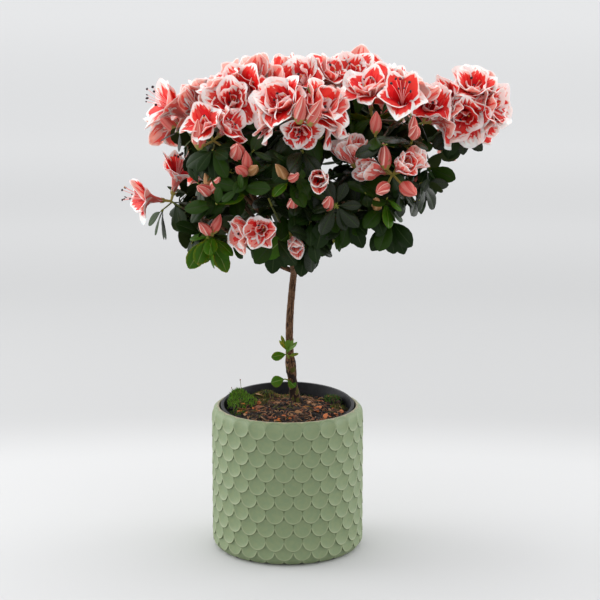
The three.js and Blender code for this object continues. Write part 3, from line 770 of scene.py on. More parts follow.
def lump(heap, place, size, kind, dice):
    """A crumb, stretched and dented by the dice."""
    scales = np.array([size * (0.6 + 0.8 * dice()) for _ in range(3)])
    shape = LUMP_CORNERS * scales * np.array([[0.75 + 0.5 * dice()] for _ in range(12)])
    turn = np.array(Matrix.Rotation(2 * math.pi * dice(), 3, "Z") @ Matrix.Rotation(dice(), 3, "X"))
    heap.add(shape @ turn.T + place, (LUMP_FACES, kind))


print("a lump has", len(LUMP_FACES), "faces")


# %% Crumbs and roots on the peat
def scattered(dice, most=0.97):
    """A place on the peat where the dice lets something fall."""
    x, y = on_soil(2 * math.pi * dice(), SOIL_REACH * most * math.sqrt(dice()))
    return x, y


CRUMB_COUNT, ROOT_COUNT = 1500, 230
CRUMB_KINDS = (WET_PEAT, CRUMB, CRUMB, DARK_PEAT, DARK_PEAT, CHIP)
ROOT_KINDS = (CHIP, BROWN_SCRAP, PALE_SCRAP, PALE_SCRAP, MOSS_TONES[2])


def crumbs():
    dice = seeded(77)
    heap = Heap()
    for _ in range(CRUMB_COUNT):
        x, y = scattered(dice)
        size = 0.5 + 1.5 * dice() ** 2.2
        kind = CRUMB_KINDS[int(6 * dice())]
        lump(heap, np.array([x, y, ground(x, y) + 0.2 * size]), size, kind, dice)
    for _ in range(ROOT_COUNT):
        x, y = scattered(dice, 0.9)
        angle = 2 * math.pi * dice()
        reach = 4 + 9 * dice()
        far = np.array([x + reach * math.cos(angle), y + reach * math.sin(angle), 0])
        if np.hypot(*(far[:2] - SOIL_MIDDLE)) > SOIL_REACH * 0.95:
            continue
        start = np.array([x, y, ground(x, y) + 0.2])
        far[2] = ground(far[0], far[1]) + 0.2
        bend = (start + far) / 2 + np.array([3 * dice() - 1.5, 3 * dice() - 1.5, 1.5 + 2.5 * dice()])
        tube(heap, bezier(start, bend, far, 8), lambda share: 0.3, 4, 6, ROOT_KINDS[int(5 * dice())])
    return heap


piece_of("peat_crumbs", crumbs(), SOILS, crease=30)

# %% [markdown]
# ## Leaves
# An azalea's leaf is a small leathery oval, widest past its middle, with a rounded end, a groove along
# its midrib and a paler underside. Each is a closed thin shape: six columns of corners on top, two more
# below, and the margin shared, so it has two faces and a crisp edge. The narrow middle strip takes the
# colour of the rib. The same shape, made small, curled or narrow, gives dry scraps, bracts and young
# shoots.

# %% The leaf
LEAF_ACROSS = np.array([-1, -0.5, -0.06, 0.06, 0.5, 1])
LEAF_ALONG = np.array([0, 0.1, 0.24, 0.42, 0.6, 0.77, 0.91, 1])
LEAF_OUTLINE = np.array([0.1, 0.11, 0.48, 0.84, 1.0, 0.92, 0.58, 0.12])
LEAF_ROWS, LEAF_COLUMNS = len(LEAF_ALONG), len(LEAF_ACROSS)
LEAF_THICK, MOST_THICK = 0.035, 0.6


def leaf_faces():
    """Faces of the upper side, and of the under side with its two inner columns and its two ends."""
    last = LEAF_ROWS - 1

    def top(i, j):
        return i * LEAF_COLUMNS + j

    def rib(i, side):
        return top(i, 2 + side) if i in (0, last) else LEAF_ROWS * LEAF_COLUMNS + 2 * (i - 1) + side

    under, ends = [], []
    for i in range(last):
        k = i + 1
        under.append((rib(i, 0), rib(k, 0), rib(k, 1), rib(i, 1)))
        if i == 0:
            ends.append((top(0, 0), top(1, 0), rib(1, 0), top(0, 2), top(0, 1)))
            ends.append((top(0, 3), rib(1, 1), top(1, 5), top(0, 5), top(0, 4)))
        elif k == last:
            ends.append((top(i, 0), top(k, 0), top(k, 1), top(k, 2), rib(i, 0)))
            ends.append((rib(i, 1), top(k, 3), top(k, 4), top(k, 5), top(i, 5)))
        else:
            under.append((top(i, 0), top(k, 0), rib(k, 0), rib(i, 0)))
            under.append((rib(i, 1), rib(k, 1), top(k, 5), top(i, 5)))
    return grid_faces(LEAF_ROWS, LEAF_COLUMNS), np.array(under), np.array(ends)


LEAF_TOP, LEAF_UNDER, LEAF_ENDS = leaf_faces()
LEAF_RIB = np.tile(np.arange(LEAF_COLUMNS - 1) == 2, LEAF_ROWS - 1)


def leaf(heap, place, way, face, length, width, kinds, bend=0.35, fold=0.25, roll=0.25, twist=0.0):
    """A leaf from a place along a way, its upper side to the face; kinds are blade, rib and underside."""
    upper, side = square_to(way, face)
    share = LEAF_ALONG[:, None]
    u = LEAF_ACROSS[None, :]
    x = u * LEAF_OUTLINE[:, None] * width / 2
    turn = -bend * share
    fine = np.linspace(0, 1, 21)
    out = np.interp(LEAF_ALONG, fine, np.concatenate([[0], np.cumsum(np.cos(-bend * fine[:-1]))]) / 20)
    down = np.interp(LEAF_ALONG, fine, np.concatenate([[0], np.cumsum(np.sin(-bend * fine[:-1]))]) / 20)
    lift = np.abs(x) * math.tan(fold) - roll * width / 2 * np.abs(u) ** 3 * LEAF_OUTLINE[:, None]
    lift = lift - 0.02 * width * (np.abs(u) < 0.1)
    across = x * np.cos(twist * share) - lift * np.sin(twist * share)
    lift = x * np.sin(twist * share) + lift * np.cos(twist * share)
    forward = length * out[:, None] - lift * np.sin(turn)
    height = length * down[:, None] + lift * np.cos(turn)
    grid = place + forward[..., None] * way + height[..., None] * upper + across[..., None] * side
    thick = np.minimum(LEAF_THICK * width, MOST_THICK)
    rib = grid[1:-1, 2:4] - (thick * np.cos(turn[1:-1])[..., None]) * upper
    heap.add(
        np.concatenate([grid.reshape(-1, 3), rib.reshape(-1, 3)]),
        (LEAF_TOP, np.where(LEAF_RIB, kinds[1], kinds[0])),
        (LEAF_UNDER, kinds[2]),
        (LEAF_ENDS, kinds[2]),
    )


print("one leaf has", len(LEAF_TOP) + len(LEAF_UNDER) + len(LEAF_ENDS), "faces")

# %% [markdown]
# ## Dry leaves on the peat
# Old leaves fall and dry on the peat, brown or straw-coloured, curled, and lying at a slant on the
# crumbs. They are the same leaf shape with a strong bend and a twist. The larger ones in front lie
# where a table says, and the dice scatters the small ones.

# %% Leaf litter
# x, y, length, width, heading, and which of the soil's finishes, of the dry scraps that lie on top
SCRAPS = [
    (-42, -38, 13, 7, 20, 5), (-33, -45, 12, 8, -30, 4), (-12, -36, 10, 9, 60, 4), (-8, -43, 9, 6, 10, 4),
    (12, -48, 12, 6, 5, 4), (22, -40, 13, 7, 40, 4), (29, -50, 10, 6, -20, 5), (38, -30, 14, 8, 50, 4),
    (44, -18, 12, 7, 30, 4), (50, -8, 11, 6, 80, 4), (28, -8, 11, 6, -40, 4), (24, 4, 10, 6, 120, 6),
    (36, 4, 12, 6, 10, 6), (30, 14, 9, 6, 70, 6), (22, -55, 13, 6, 4, 7), (-22, -28, 9, 5, 150, 5),
    (-10, -20, 11, 6, 100, 6), (-2, -10, 9, 5, -70, 5), (12, -16, 10, 5, 20, 5), (-28, -18, 10, 4, 10, 6),
    (47, -30, 12, 6, -60, 5), (4, -30, 9, 5, 200, 6), (-50, -22, 9, 5, 45, 5), (40, -44, 9, 6, 0, 4),
]


def scattered_scraps(dice, count=90):
    """More scraps, where the dice lets them fall."""
    for _ in range(count):
        x, y = scattered(dice, 0.93)
        kinds = (ORANGE_SCRAP, ORANGE_SCRAP, BROWN_SCRAP, PALE_SCRAP)
        yield x, y, 5 + 8 * dice(), 3 + 4 * dice(), 360 * dice(), kinds[int(4 * dice())]


def litter():
    dice = seeded(3)
    heap = Heap()
    for x, y, size, wide, turn, kind in SCRAPS + list(scattered_scraps(dice)):
        way = heading(turn, 14 * dice() - 2)
        place = np.array([x, y, ground(x, y) + 0.6]) - way * size / 2 * np.array([1, 1, 0])
        face = unit(UP + np.array([dice() - 0.5, dice() - 0.5, 0]) * 0.9)
        leaf(heap, place, way, face, size, wide, (kind, kind, kind), bend=0.8 * dice(), fold=0.5 * dice(),
             roll=0.4, twist=dice() - 0.5)
    return heap


piece_of("leaf_litter", litter(), SOILS)

# %% [markdown]
# ## Moss
# Moss grows as cushions of short pointed shoots that stand close together. Hair could draw them, but
# real spikes of three sides can be handed on with the plant, and a few thousand of them are cheap.
# Each bed has its own main green, with some shoots of the others mixed in.

# %% Moss
# Beds of moss: their middle, radius, number of shoots and main tone. The first three are the cushions.
MOSS_BEDS = [
    (-44, 6, 15, 900, 0), (-24, 40, 13, 500, 2), (44, 26, 9, 330, 1), (-46, 10, 12, 620, 0),
    (-53, 22, 11, 520, 0), (-30, 22, 17, 420, 2), (-8, 46, 12, 260, 2), (-47, -12, 9, 180, 1),
    (50, 6, 9, 160, 2), (14, 44, 10, 120, 3),
]
MOSS_SHOOT = np.array([(0, 1, 3), (1, 2, 3), (2, 0, 3), (0, 2, 1)])


def hump(x, y):
    """The top of the tall hump of moss at the left, in mm above the peat."""
    return 9 * max(0.0, 1 - math.hypot(x + 51, y - 17) ** 2 / 260)


def moss_shoot(heap, x, y, tone, dice):
    """A short pointed shoot, one of thousands."""
    foot = np.array([x, y, ground(x, y) - 0.3 + hump(x, y) * dice() ** 0.4])
    way = unit(np.array([dice() - 0.5, dice() - 0.5, 0.55 + 0.5 * dice()]))
    a, b = square_to(way)
    tall = 1.8 + 2.6 * dice()
    base = [foot + 0.42 * (math.cos(t) * a + math.sin(t) * b) for t in (0, 2.1, 4.2)]
    kind = MOSS_TONES[tone] if dice() < 0.6 else MOSS_TONES[int(4 * dice())]
    heap.add([*base, foot + way * tall], (MOSS_SHOOT, kind))


def moss():
    """Shoots that stand thick on the cushions and thin along the back, and two stalks with spore cases."""
    dice = seeded(19)
    heap = Heap()
    for cx, cy, radius, count, tone in MOSS_BEDS:
        for _ in range(count):
            angle, reach = 2 * math.pi * dice(), radius * math.sqrt(dice())
            x, y = cx + reach * math.cos(angle), cy + reach * math.sin(angle)
            if math.hypot(x - SOIL_MIDDLE[0], y - SOIL_MIDDLE[1]) <= SOIL_REACH * 0.97:
                moss_shoot(heap, x, y, tone, dice)
    for x, y, tall in ((-52, 14, 12), (-44, 22, 24)):
        foot = np.array([x, y, ground(x, y)])
        top = foot + np.array([-1.5, 0, tall])
        tube(heap, bezier(foot, foot + UP * tall * 0.6, top, 8), lambda share: 0.22, 4, 5, MOSS_TONES[2])
        lump(heap, top, 0.6, BROWN_SCRAP, dice)
    return heap


piece_of("moss", moss(), SOILS, crease=80)

# %% [markdown]
# ## How the head grows
# The head is grown by the rule of the solids, written again here and carried on to finer twigs. Each
# clump has its own space, bounded by planes halfway to its neighbours. A bough arches out from the
# stem into the clump, a short limb goes on from it, and twigs run from that to the flower heads and to
# leafy shoots. Then every twig gets side shoots, each with its own whorl of leaves.

# %% The table of the head
# One clump after another: its middle, the height where its bough leaves the stem, and its heads as
# place, facing as azimuth and elevation, flowers, their radius, how far they have opened, and buds.
CLUMPS = [
    ("front_crown", (14, -60, 398), 310, [
        ((12, -70, 418), (-92, 38), 5, 30, 1, 2), ((2, -84, 366), (-95, 40), 0, 17, 1, 2),
        ((31, -76, 366), (-80, 30), 1, 16, 0.4, 0)]),
    ("front_low", (0, -46, 322), 262, [
        ((-20, -54, 315), (-108, 6), 1, 28, 0.68, 0), ((3, -56, 313), (-80, -5), 1, 14, 0.5, 0),
        ((6, -72, 336), (-90, 35), 0, 17, 1, 1), ((36, -76, 338), (-85, 40), 0, 17, 1, 1)]),
    ("left_front", (-60, -46, 388), 286, [
        ((-66, -56, 398), (-105, 35), 2, 21, 0.8, 2), ((-34, -76, 370), (-96, 45), 0, 17, 1, 3),
        ((-67, -60, 350), (-110, 50), 0, 17, 1, 3)]),
    ("left_side", (-88, 6, 398), 292, [
        ((-84, -8, 407), (176, 25), 1, 27, 0.8, 0), ((-70, 8, 409), (150, 62), 2, 25, 1, 0),
        ((-98, 38, 394), (150, 25), 2, 24, 1, 1)]),
    ("left_low", (-88, -14, 326), 266, [
        ((-108, -4, 334), (176, 35), 2, 24, 0.75, 0), ((-68, -50, 310), (-100, 60), 0, 17, 1, 2)]),
    ("top_left", (-28, 4, 418), 322, [
        ((-24, -6, 428), (-100, 66), 3, 28, 1, 0), ((-48, -22, 420), (-125, 40), 2, 25, 1, 0),
        ((-36, 28, 423), (115, 50), 2, 26, 1, 1)]),
    ("top_right", (50, 22, 422), 326, [
        ((27, 4, 430), (-95, 55), 2, 26, 1, 0), ((62, 22, 435), (-75, 72), 4, 24, 1, 0),
        ((44, 52, 420), (95, 40), 2, 25, 1, 0)]),
    ("right_front", (100, -36, 414), 288, [
        ((77, -36, 418), (-112, 42), 1, 30, 1, 0), ((104, -54, 418), (-85, 45), 2, 27, 1, 0),
        ((124, -26, 410), (-35, 25), 2, 25, 0.8, 0), ((79, -72, 404), (-85, 65), 0, 17, 1, 1),
        ((112, -78, 402), (-80, 65), 0, 17, 1, 2)]),
    ("right_low", (86, -46, 352), 270, [
        ((95, -66, 369), (-80, 22), 3, 19, 0.5, 4), ((64, -58, 370), (-98, 20), 2, 19, 0.5, 0),
        ((82, -66, 336), (-100, 40), 0, 17, 1, 1)]),
    ("far_right", (156, -3, 400), 298, [((166, -4, 420), (-62, 52), 6, 27, 1, 0)]),
    ("back_left", (-64, 66, 388), 282, [
        ((-72, 78, 402), (130, 35), 3, 25, 1, 1), ((-28, 92, 384), (105, 20), 2, 24, 0.8, 1)]),
    ("back_crown", (14, 82, 402), 306, [
        ((10, 90, 420), (92, 42), 4, 27, 1, 2), ((46, 100, 390), (75, 15), 2, 23, 0.8, 0)]),
    ("back_right", (94, 58, 396), 302, [
        ((100, 68, 412), (60, 45), 4, 25, 1, 0), ((128, 48, 384), (30, 15), 2, 24, 0.8, 1)]),
    ("back_low_left", (-46, 60, 322), 274, [
        ((-72, 80, 328), (130, 15), 2, 22, 0.75, 0), ((-18, 88, 342), (95, 50), 0, 17, 1, 2)]),
    ("back_low_right", (58, 52, 330), 278, [
        ((76, 80, 336), (65, 12), 2, 21, 0.5, 2), ((112, 36, 342), (15, 40), 0, 17, 1, 2)]),
]
print("flowers:", sum(head[2] for clump in CLUMPS for head in clump[3]))
print("buds:", sum(head[5] for clump in CLUMPS for head in clump[3]))

# %% The space of each clump
# The head's own edges, each as a way out and a place that its plane goes through
HEAD_EDGES = [((0, 0, -1), (0, 0, 268)), ((1, 0, -1), (68, 0, 268)), ((-1, 0, 0), (-144, 0, 350))]
CELL_MARGIN = 0.25


def halfway(near, far):
    """The plane halfway between two middles, as its way and how far along that it lies."""
    away = unit(far - near)
    return away, float(np.dot(near, away) + np.linalg.norm(far - near) / 2 - CELL_MARGIN)


def space_of(index):
    """The planes round a clump, towards its neighbours and at the edges of the head."""
    middle = np.array(CLUMPS[index][1], float)
    walls = [halfway(middle, np.array(other[1], float)) for k, other in enumerate(CLUMPS) if k != index]
    for face, through in HEAD_EDGES:
        away = unit(np.array(face, float))
        walls.append((away, float(np.dot(away, through))))
    return walls


def share_inside(space, start, end):
    """The share of the way from start to end that lies inside a space."""
    share = 1.0
    for away, limit in space:
        a, b = np.dot(start, away), np.dot(end, away)
        if b > limit:
            share = min(share, max(0.0, (limit - a) / (b - a)))
    return share


print("planes round the first clump:", len(space_of(0)))


# %% The line of the stem
def through_points(points, steps=400):
    """The smooth line through points that the stem of the solids follows."""
    points = np.array(points, float)
    ends = [2 * points[0] - points[1], *points, 2 * points[-1] - points[-2]]
    made = []
    for t in np.linspace(0, len(points) - 1, steps + 1):
        i = min(int(t), len(points) - 2)
        p = ends[i : i + 4]
        d = [np.linalg.norm(p[k + 1] - p[k]) ** 0.5 for k in range(3)]
        m1 = ((p[1] - p[0]) / d[0] - (p[2] - p[0]) / (d[0] + d[1]) + (p[2] - p[1]) / d[1]) * d[1]
        m2 = ((p[2] - p[1]) / d[1] - (p[3] - p[1]) / (d[1] + d[2]) + (p[3] - p[2]) / d[2]) * d[1]
        w = t - i
        made.append(p[1] + w * m1 + w * w * (-3 * p[1] + 3 * p[2] - 2 * m1 - m2)
                    + w**3 * (2 * p[1] - 2 * p[2] + m1 + m2))
    return Line(made)


STEM_FOOT, STEM_TIP = 136.6, 330
stem_line = through_points([
    (8.6, 14.5, 132.6), (5, 11.5, 155), (2.2, 9, 186), (2, 7, 215), (4.2, 5, 246), (7, 3, 275),
    (8.4, 2, 303), (8, 2, STEM_TIP),
])


def stem_at(height):
    """The place on the stem's line at a height."""
    return stem_line.at(np.interp(height, stem_line.points[:, 2], stem_line.shares))


print("stem is", round(stem_line.length), "mm long")


# %% The lines of the boughs
def bough_line(index):
    """A bough's line, from the stem to where it has entered the space of its clump."""
    _, middle, height, _ = CLUMPS[index]
    middle = np.array(middle, float)
    foot = stem_at(height)
    back = 1 - share_inside(space_of(index), middle, foot)
    entry = back + 4 / np.linalg.norm(middle - foot) if back > 0 else 0
    end = foot + (middle - foot) * max(0.5, entry)
    out = (end - foot) * np.array([1, 1, 0])
    bend = (foot + end) / 2 + 0.16 * out
    bend[2] -= 0.05 * np.linalg.norm(out)
    return bezier(foot, bend, end)


def limb_line(index):
    """The short limb that goes on from the bough's tip to the clump's middle."""
    line = bough_line(index)
    foot = line.at(1)
    return bezier(foot, foot + 9.3 * line.way(1), np.array(CLUMPS[index][1], float))


print("boughs are", [round(bough_line(index).length) for index in range(len(CLUMPS))], "mm long")

# %% Twigs and their tips
HEAD_MIDDLE = np.array([8.0, 2.0, 350.0])
LEAFY_SHOOTS, MOST_TRIES = 4, 80
LOWEST_TIP, TIPS_APART = 282, 26


def tips_of(index):
    """Heads first, then leafy shoots spread over the clump's outer side, as the solids have them."""
    _, middle, _, heads = CLUMPS[index]
    middle = np.array(middle, float)
    space = space_of(index)
    dice = seeded(101 + 17 * index)
    outward = unit(middle - HEAD_MIDDLE)
    tips = [(np.array(head[0], float), heading(*head[1]), 2 * math.pi * dice(), head) for head in heads]
    tries = 0
    while len(tips) < len(heads) + LEAFY_SHOOTS and tries < MOST_TRIES:
        tries += 1
        height = 1 - 2 * dice()
        angle = 2 * math.pi * dice()
        level = math.sqrt(1 - height * height)
        way = np.array([level * math.cos(angle), level * math.sin(angle), height * 0.75])
        tip = middle + way * (28 + 18 * dice())
        share = share_inside(space, middle, tip)
        if np.dot(way, outward) < -0.45 or share < 0.75:
            continue
        if share < 1:
            tip = middle + (tip - middle) * (share - 0.12)
        if tip[2] < LOWEST_TIP or any(np.linalg.norm(tip - other[0]) < TIPS_APART for other in tips):
            continue
        tips.append((tip, unit(way + 0.55 * UP), 2 * math.pi * dice(), None))
    return tips


def twig_line(start, tip, way, reach=1.6):
    """A twig that bends so that it ends along a way, a little past its tip."""
    bend = tip - 0.42 * np.linalg.norm(tip - start) * way
    return bezier(start, bend, tip + reach * way, 12)


TIPS = [tips_of(index) for index in range(len(CLUMPS))]
print("tips in each clump:", [len(tips) for tips in TIPS])

# %% [markdown]
# ## Where the flowers stand
# Each head holds up to six flowers on short stalks that fan out from the twig's tip. A rule spreads
# them evenly, which is enough for the far side. The heads that are seen from near have the ways of
# their flowers noted one by one, because a flower's facing decides what it looks like.

# %% Where the flowers stand
PEDICEL = 7
# Heads of single flowers, heads of paler flowers, and one single flower in a head of double ones
SINGLE_HEADS = {(-84, -8, 407), (-108, -4, 334)}
PALE_HEADS = {(-20, -54, 315), (3, -56, 313), (95, -66, 369), (64, -58, 370), (31, -76, 366)}
SINGLE_FLOWERS = {((104, -54, 418), 0)}
# The ways that the flowers of some heads point in, as azimuth and elevation, and some flowers' size
OWN_WAYS = {
    (12, -70, 418): [(-134, 42), (-44, 34), (-168, 12), (-8, 12), (-88, -18, 0.66)],
    (-108, -4, 334): [(-162, 10, 0.95), (-20, 74, 1.05)],
    (166, -4, 420): [(-75, 58), (-142, 20), (-98, -6), (-38, 12), (-32, -32, 0.9), (60, 36)],
    (-70, 8, 409): [(172, 26), (110, 50)],
    (62, 22, 435): [(-96, 50), (-28, 34), (168, 38), (64, 44)],
    (-84, -8, 407): [(-158, 34, 1.05)],
    (104, -54, 418): [(-94, 46, 0.94), (20, 62)],
    (-20, -54, 315): [(-150, 4, 0.78), (-98, 14, 0.7)],
    (3, -56, 313): [(-75, -18)],
    (31, -76, 366): [(-95, 10)],
    (77, -36, 418): [(-110, 66)],
    (-66, -56, 398): [(-122, 52), (-30, 40)],
    (95, -66, 369): [(-155, 16), (-62, 32), (-8, 38)],
    (64, -58, 370): [(-160, 58), (-100, 70)],
    (124, -26, 410): [(-20, 8), (-70, 50)],
}
# Buds of some heads: azimuth and elevation, and how far their foot is from the twig's tip
OWN_BUDS = {
    (12, -70, 418): [(-72, 70, -1, -33, 2), (-40, 62, 8, -33, 0)],
    (-66, -56, 398): [(-100, 74, -12, -10, -6), (-90, 30, 22, -8, -14)],
    (95, -66, 369): [(-115, 72, -6, -8, 6), (-60, 70, 12, -8, 4), (-115, -10, -5, -10, -8),
                     (-65, -10, 8, -10, -8)],
}


def flower_ways(face, count, turn, at):
    """One way for each flower of a head: a ring that leans out from its facing, and one in the middle."""
    if at in OWN_WAYS:
        return [heading(*row[:2]) for row in OWN_WAYS[at]]
    if count < 2:
        return [face] * count
    in_ring = count - 1 if count > 5 else count
    face = unit(face + 0.35 * UP)
    lean = math.radians(32 if count == 2 else 48)
    ways = [leaning(face, lean, turn + 2 * math.pi * i / in_ring) for i in range(in_ring)]
    return ways + [face] * (count - in_ring)


def own_size(at, number):
    """How large one flower of a head is by the others of its head."""
    row = OWN_WAYS[at][number] if at in OWN_WAYS else ()
    return row[2] if len(row) > 2 else 1.0


print("heads whose flowers have ways of their own:", len(OWN_WAYS))

# %% Room for the flowers
TO_THE_FRONT = heading(-90, 8)
BUD_ROOM = 9
FLOWER_ROOMS = []
for tips in TIPS:
    for tip, way, turn, head in tips:
        if head is None:
            continue
        at, _, count, radius, *_ = head
        for number, axis in enumerate(flower_ways(way, count, turn, at)):
            FLOWER_ROOMS.append((tip + PEDICEL * axis, axis, radius * max(0.9, own_size(at, number))))
            # A single flower at the head's edge shows its side, so the room in front is kept free too
            if at in SINGLE_HEADS:
                FLOWER_ROOMS.append((tip + 3 * PEDICEL * axis, TO_THE_FRONT, radius))
        for azimuth, elevation, *away in OWN_BUDS.get(at, []):
            middle = tip + np.array(away) + BUD_ROOM * heading(azimuth, elevation)
            FLOWER_ROOMS.append((middle, TO_THE_FRONT, BUD_ROOM))
FLOWER_FEET, FLOWER_WAYS, FLOWER_SIZES = map(np.array, zip(*FLOWER_ROOMS))


def before_a_flower(point, room, reach):
    """Whether a point is in the room that a flower opens into, so that a leaf there would hide it."""
    gap = point - FLOWER_FEET
    along = np.clip(np.sum(gap * FLOWER_WAYS, axis=1), 5, reach)
    return bool(np.any(np.linalg.norm(gap - along[:, None] * FLOWER_WAYS, axis=1) < room * FLOWER_SIZES))


print("rooms kept free for flowers and buds:", len(FLOWER_ROOMS))

# %% [markdown]
# ## The crown's outline
# A gardener trims a standard so that its head is open below and shows the flowers above. The outline
# that the leaves keep to is a short table by height, and a shoot or leaf beyond it, or in front of a
# flower, is cut away. This is what leaves the sky showing between the low whorls.

# %% Trimming
# height, and how far the leaves reach there to the left, right, front and back
TRIM = np.array([
    (264, -8, 20, -60, 40), (272, -40, 30, -70, 60), (281, -100, 44, -84, 84), (298, -98, 66, -92, 104),
    (314, -108, 96, -98, 112), (336, -130, 124, -100, 118), (347, -106, 141, -100, 122),
    (362, -99, 153, -102, 126), (376, -102, 154, -104, 128), (391, -119, 186, -104, 130),
    (408, -104, 186, -98, 126), (424, -70, 160, -80, 110), (436, -40, 120, -60, 80),
])


def in_trim(point, room=0.0):
    """Whether a point is inside the outline of the head, with room to spare."""
    left, right, front, back = (np.interp(point[2], TRIM[:, 0], TRIM[:, k]) for k in (1, 2, 3, 4))
    if point[2] < TRIM[0, 0]:
        return False
    return left + room < point[0] < right - room and front + room < point[1] < back - room


print("the head is widest", TRIM[np.argmax(TRIM[:, 2] - TRIM[:, 1]), 0], "mm above the floor")

# %% Side shoots
SIDE_SHOOT_CLEAR = 15
# Where on a twig its side shoots fork off
FORKS = (0.3, 0.5, 0.7, 0.88)


def side_shoot(line, share, space, taken, dice):
    """One try at a shoot from the side of a twig, or nothing where there is no room for it."""
    start = line.at(share)
    out = leaning(line.way(share), math.radians(30 + 45 * dice()), 2 * math.pi * dice())
    out = unit(out + np.array([0, 0, 0.1]))
    end = start + out * (14 + 12 * dice())
    clear = all(np.linalg.norm(end - other) > SIDE_SHOOT_CLEAR for other in taken)
    free = clear and in_trim(end, 10) and not before_a_flower(end, 0.95, 55)
    if free and share_inside(space, start, end) >= 1:
        aim = unit(out + 0.4 * UP)
        return twig_line(start, end, aim), end, aim, 2 * math.pi * dice(), None, 2
    return None


def shoots_of(index):
    """Every twig of a clump: its line, where it ends, its way, its turn, its head if any, its order."""
    dice = seeded(9001 + 13 * index)
    space = space_of(index)
    limb = limb_line(index)
    shoots = []
    for i, (tip, way, turn, head) in enumerate(TIPS[index]):
        if head is None and (not in_trim(tip, 12) or before_a_flower(tip, 1.0, 60)):
            continue
        fork = 0.97 - 0.62 * i / len(TIPS[index])
        shoots.append((twig_line(limb.at(fork), tip, way), tip, way, turn, head, 1))
    taken = [shoot[1] for shoot in shoots]
    for line, *_ in list(shoots):
        for share in FORKS:
            for _ in range(4):
                made = side_shoot(line, share, space, taken, dice)
                if made:
                    shoots.append(made)
                    taken.append(made[1])
                    break
    return shoots


SHOOTS = [shoots_of(index) for index in range(len(CLUMPS))]
print("twigs in each clump:", [len(shoots) for shoots in SHOOTS])

# %% [markdown]
# ## Whorls that are seen one by one
# Most whorls merge into a mass of green, and where each one stands is no matter. A few are seen by
# themselves, against the sky or in the open middle of the head, and they give the head its outline.
# So these stand in a table, and each hangs on a twig of its own from the nearest twig of the head.

# %% Edge whorls
# Place, then facing as azimuth and elevation, leaves, their length, how far they lean out in degrees,
# how much they hang, and their tone
EDGE_WHORLS = {
    (44, -88, 344): ((-90, 22), 8, 25, 86, 0.0, 0), (-72, -52, 310): ((-100, -66), 6, 30, 40, 0.7, 3),
    (-10, -52, 309): ((-100, -40), 5, 29, 40, 0.6, 1), (17, -52, 306): ((-88, -50), 5, 28, 36, 0.6, 1),
    (94, -54, 326): ((-95, -50), 6, 30, 40, 0.6, 1), (56, -60, 330): ((-95, -25), 5, 27, 56, 0.6, 1),
    (124, -34, 356): ((-30, -20), 6, 28, 55, 0.6, 0), (130, -16, 368): ((-70, -30), 6, 26, 50, 0.5, 1),
    (-98, -24, 402): ((-150, -30), 3, 22, 46, 0.5, 0), (-116, -4, 326): ((-160, -30), 5, 28, 52, 0.6, 1),
    (-80, -30, 387): ((-90, -50), 6, 29, 44, 0.4, 0), (160, -16, 404): ((-80, -10), 6, 28, 70, 0.5, 0),
    (14, -76, 392): ((-88, -40), 6, 35, 52, 0.6, 0), (-50, -60, 372): ((-95, 20), 6, 28, 75, 0.3, 0),
}


def add_edge_whorls():
    """Adds a twig for each whorl of the table, from the place on a twig that is nearest to it."""
    for place, ((azimuth, elevation), *_) in EDGE_WHORLS.items():
        end = np.array(place, float)
        near = []
        for index, shoots in enumerate(SHOOTS):
            for shoot in shoots:
                starts = [shoot[0].at(share) for share in (0.4, 0.65, 0.9)]
                near += [(np.linalg.norm(end - start), index, tuple(start)) for start in starts]
        _, index, start = min(near)
        aim = heading(azimuth, elevation)
        SHOOTS[index].append((twig_line(np.array(start), end, aim), end, aim, 1.0, None, 2))


add_edge_whorls()
print("whorls with a twig of their own:", len(EDGE_WHORLS))

# %% [markdown]
# ## Stem, boughs and twigs
# The stem is brown and cracked along its length, with an old graft's swelling, a gnarled mossy foot
# and a slight lean. Cracks are long and narrow, so the noise that cuts them is stretched along the
# stem. The height of each corner also picks its colour: dark in a crack, pale on a ridge, green where
# moss clings. Boughs and twigs are smoother the younger they are.

# %% Bark
BARKS = [
    finish("bark_brown", (90, 63, 42), 0.85, 0.9, 0.8, level=0.25),
    finish("bark_ridge", (116, 86, 62), 0.85, 0.8, 0.8, level=0.25),
    finish("bark_crack", (44, 28, 18), 0.9, 0.8, 0.8, level=0.2),
    finish("bark_moss", (72, 72, 26), 0.9, 0.5, 0.8, level=0.25),
    finish("bark_wet_foot", (36, 24, 16), 0.8, 0.8, 0.8, level=0.25),
    finish("twig_brown", (78, 63, 42), 0.7, 0.6, 0.5),
    finish("twig_young", (89, 96, 40), 0.6, 0.6, 0.4),
    finish("twig_tip", (126, 129, 49), 0.55, 0.6, 0.3),
]
BROWN, RIDGE, CRACK, MOSSY, WET_FOOT, TWIG_OLD, TWIG_YOUNG, TWIG_TIP = range(len(BARKS))
MOSSY_BELOW = 178


def stem_radius(share, angle):
    """The stem's radius, with a flare at the foot and the swelling of the old graft."""
    height = share * (STEM_TIP - STEM_FOOT + 4) - 4
    flare = 2.6 * math.exp(-height / 9) * (1 + 0.28 * math.cos(3 * angle + 0.6))
    graft = 0.85 * math.exp(-(((height - 36) / 9) ** 2)) * (1 + 0.4 * math.cos(2 * angle))
    return 3.9 - 1.5 * share + flare + graft


def bark_height(point, stretch):
    """The bark's relief in mm at a point, with cracks that run along the limb."""
    x, y, z = point
    long = noise.noise(Vector((x / 1.5, y / 1.5, z / stretch)))
    fine = noise.noise(Vector((x / 0.8, y / 0.8, z / (stretch * 0.5) + 9)))
    return 0.34 * (1 - 2.4 * abs(long)) + 0.16 * fine


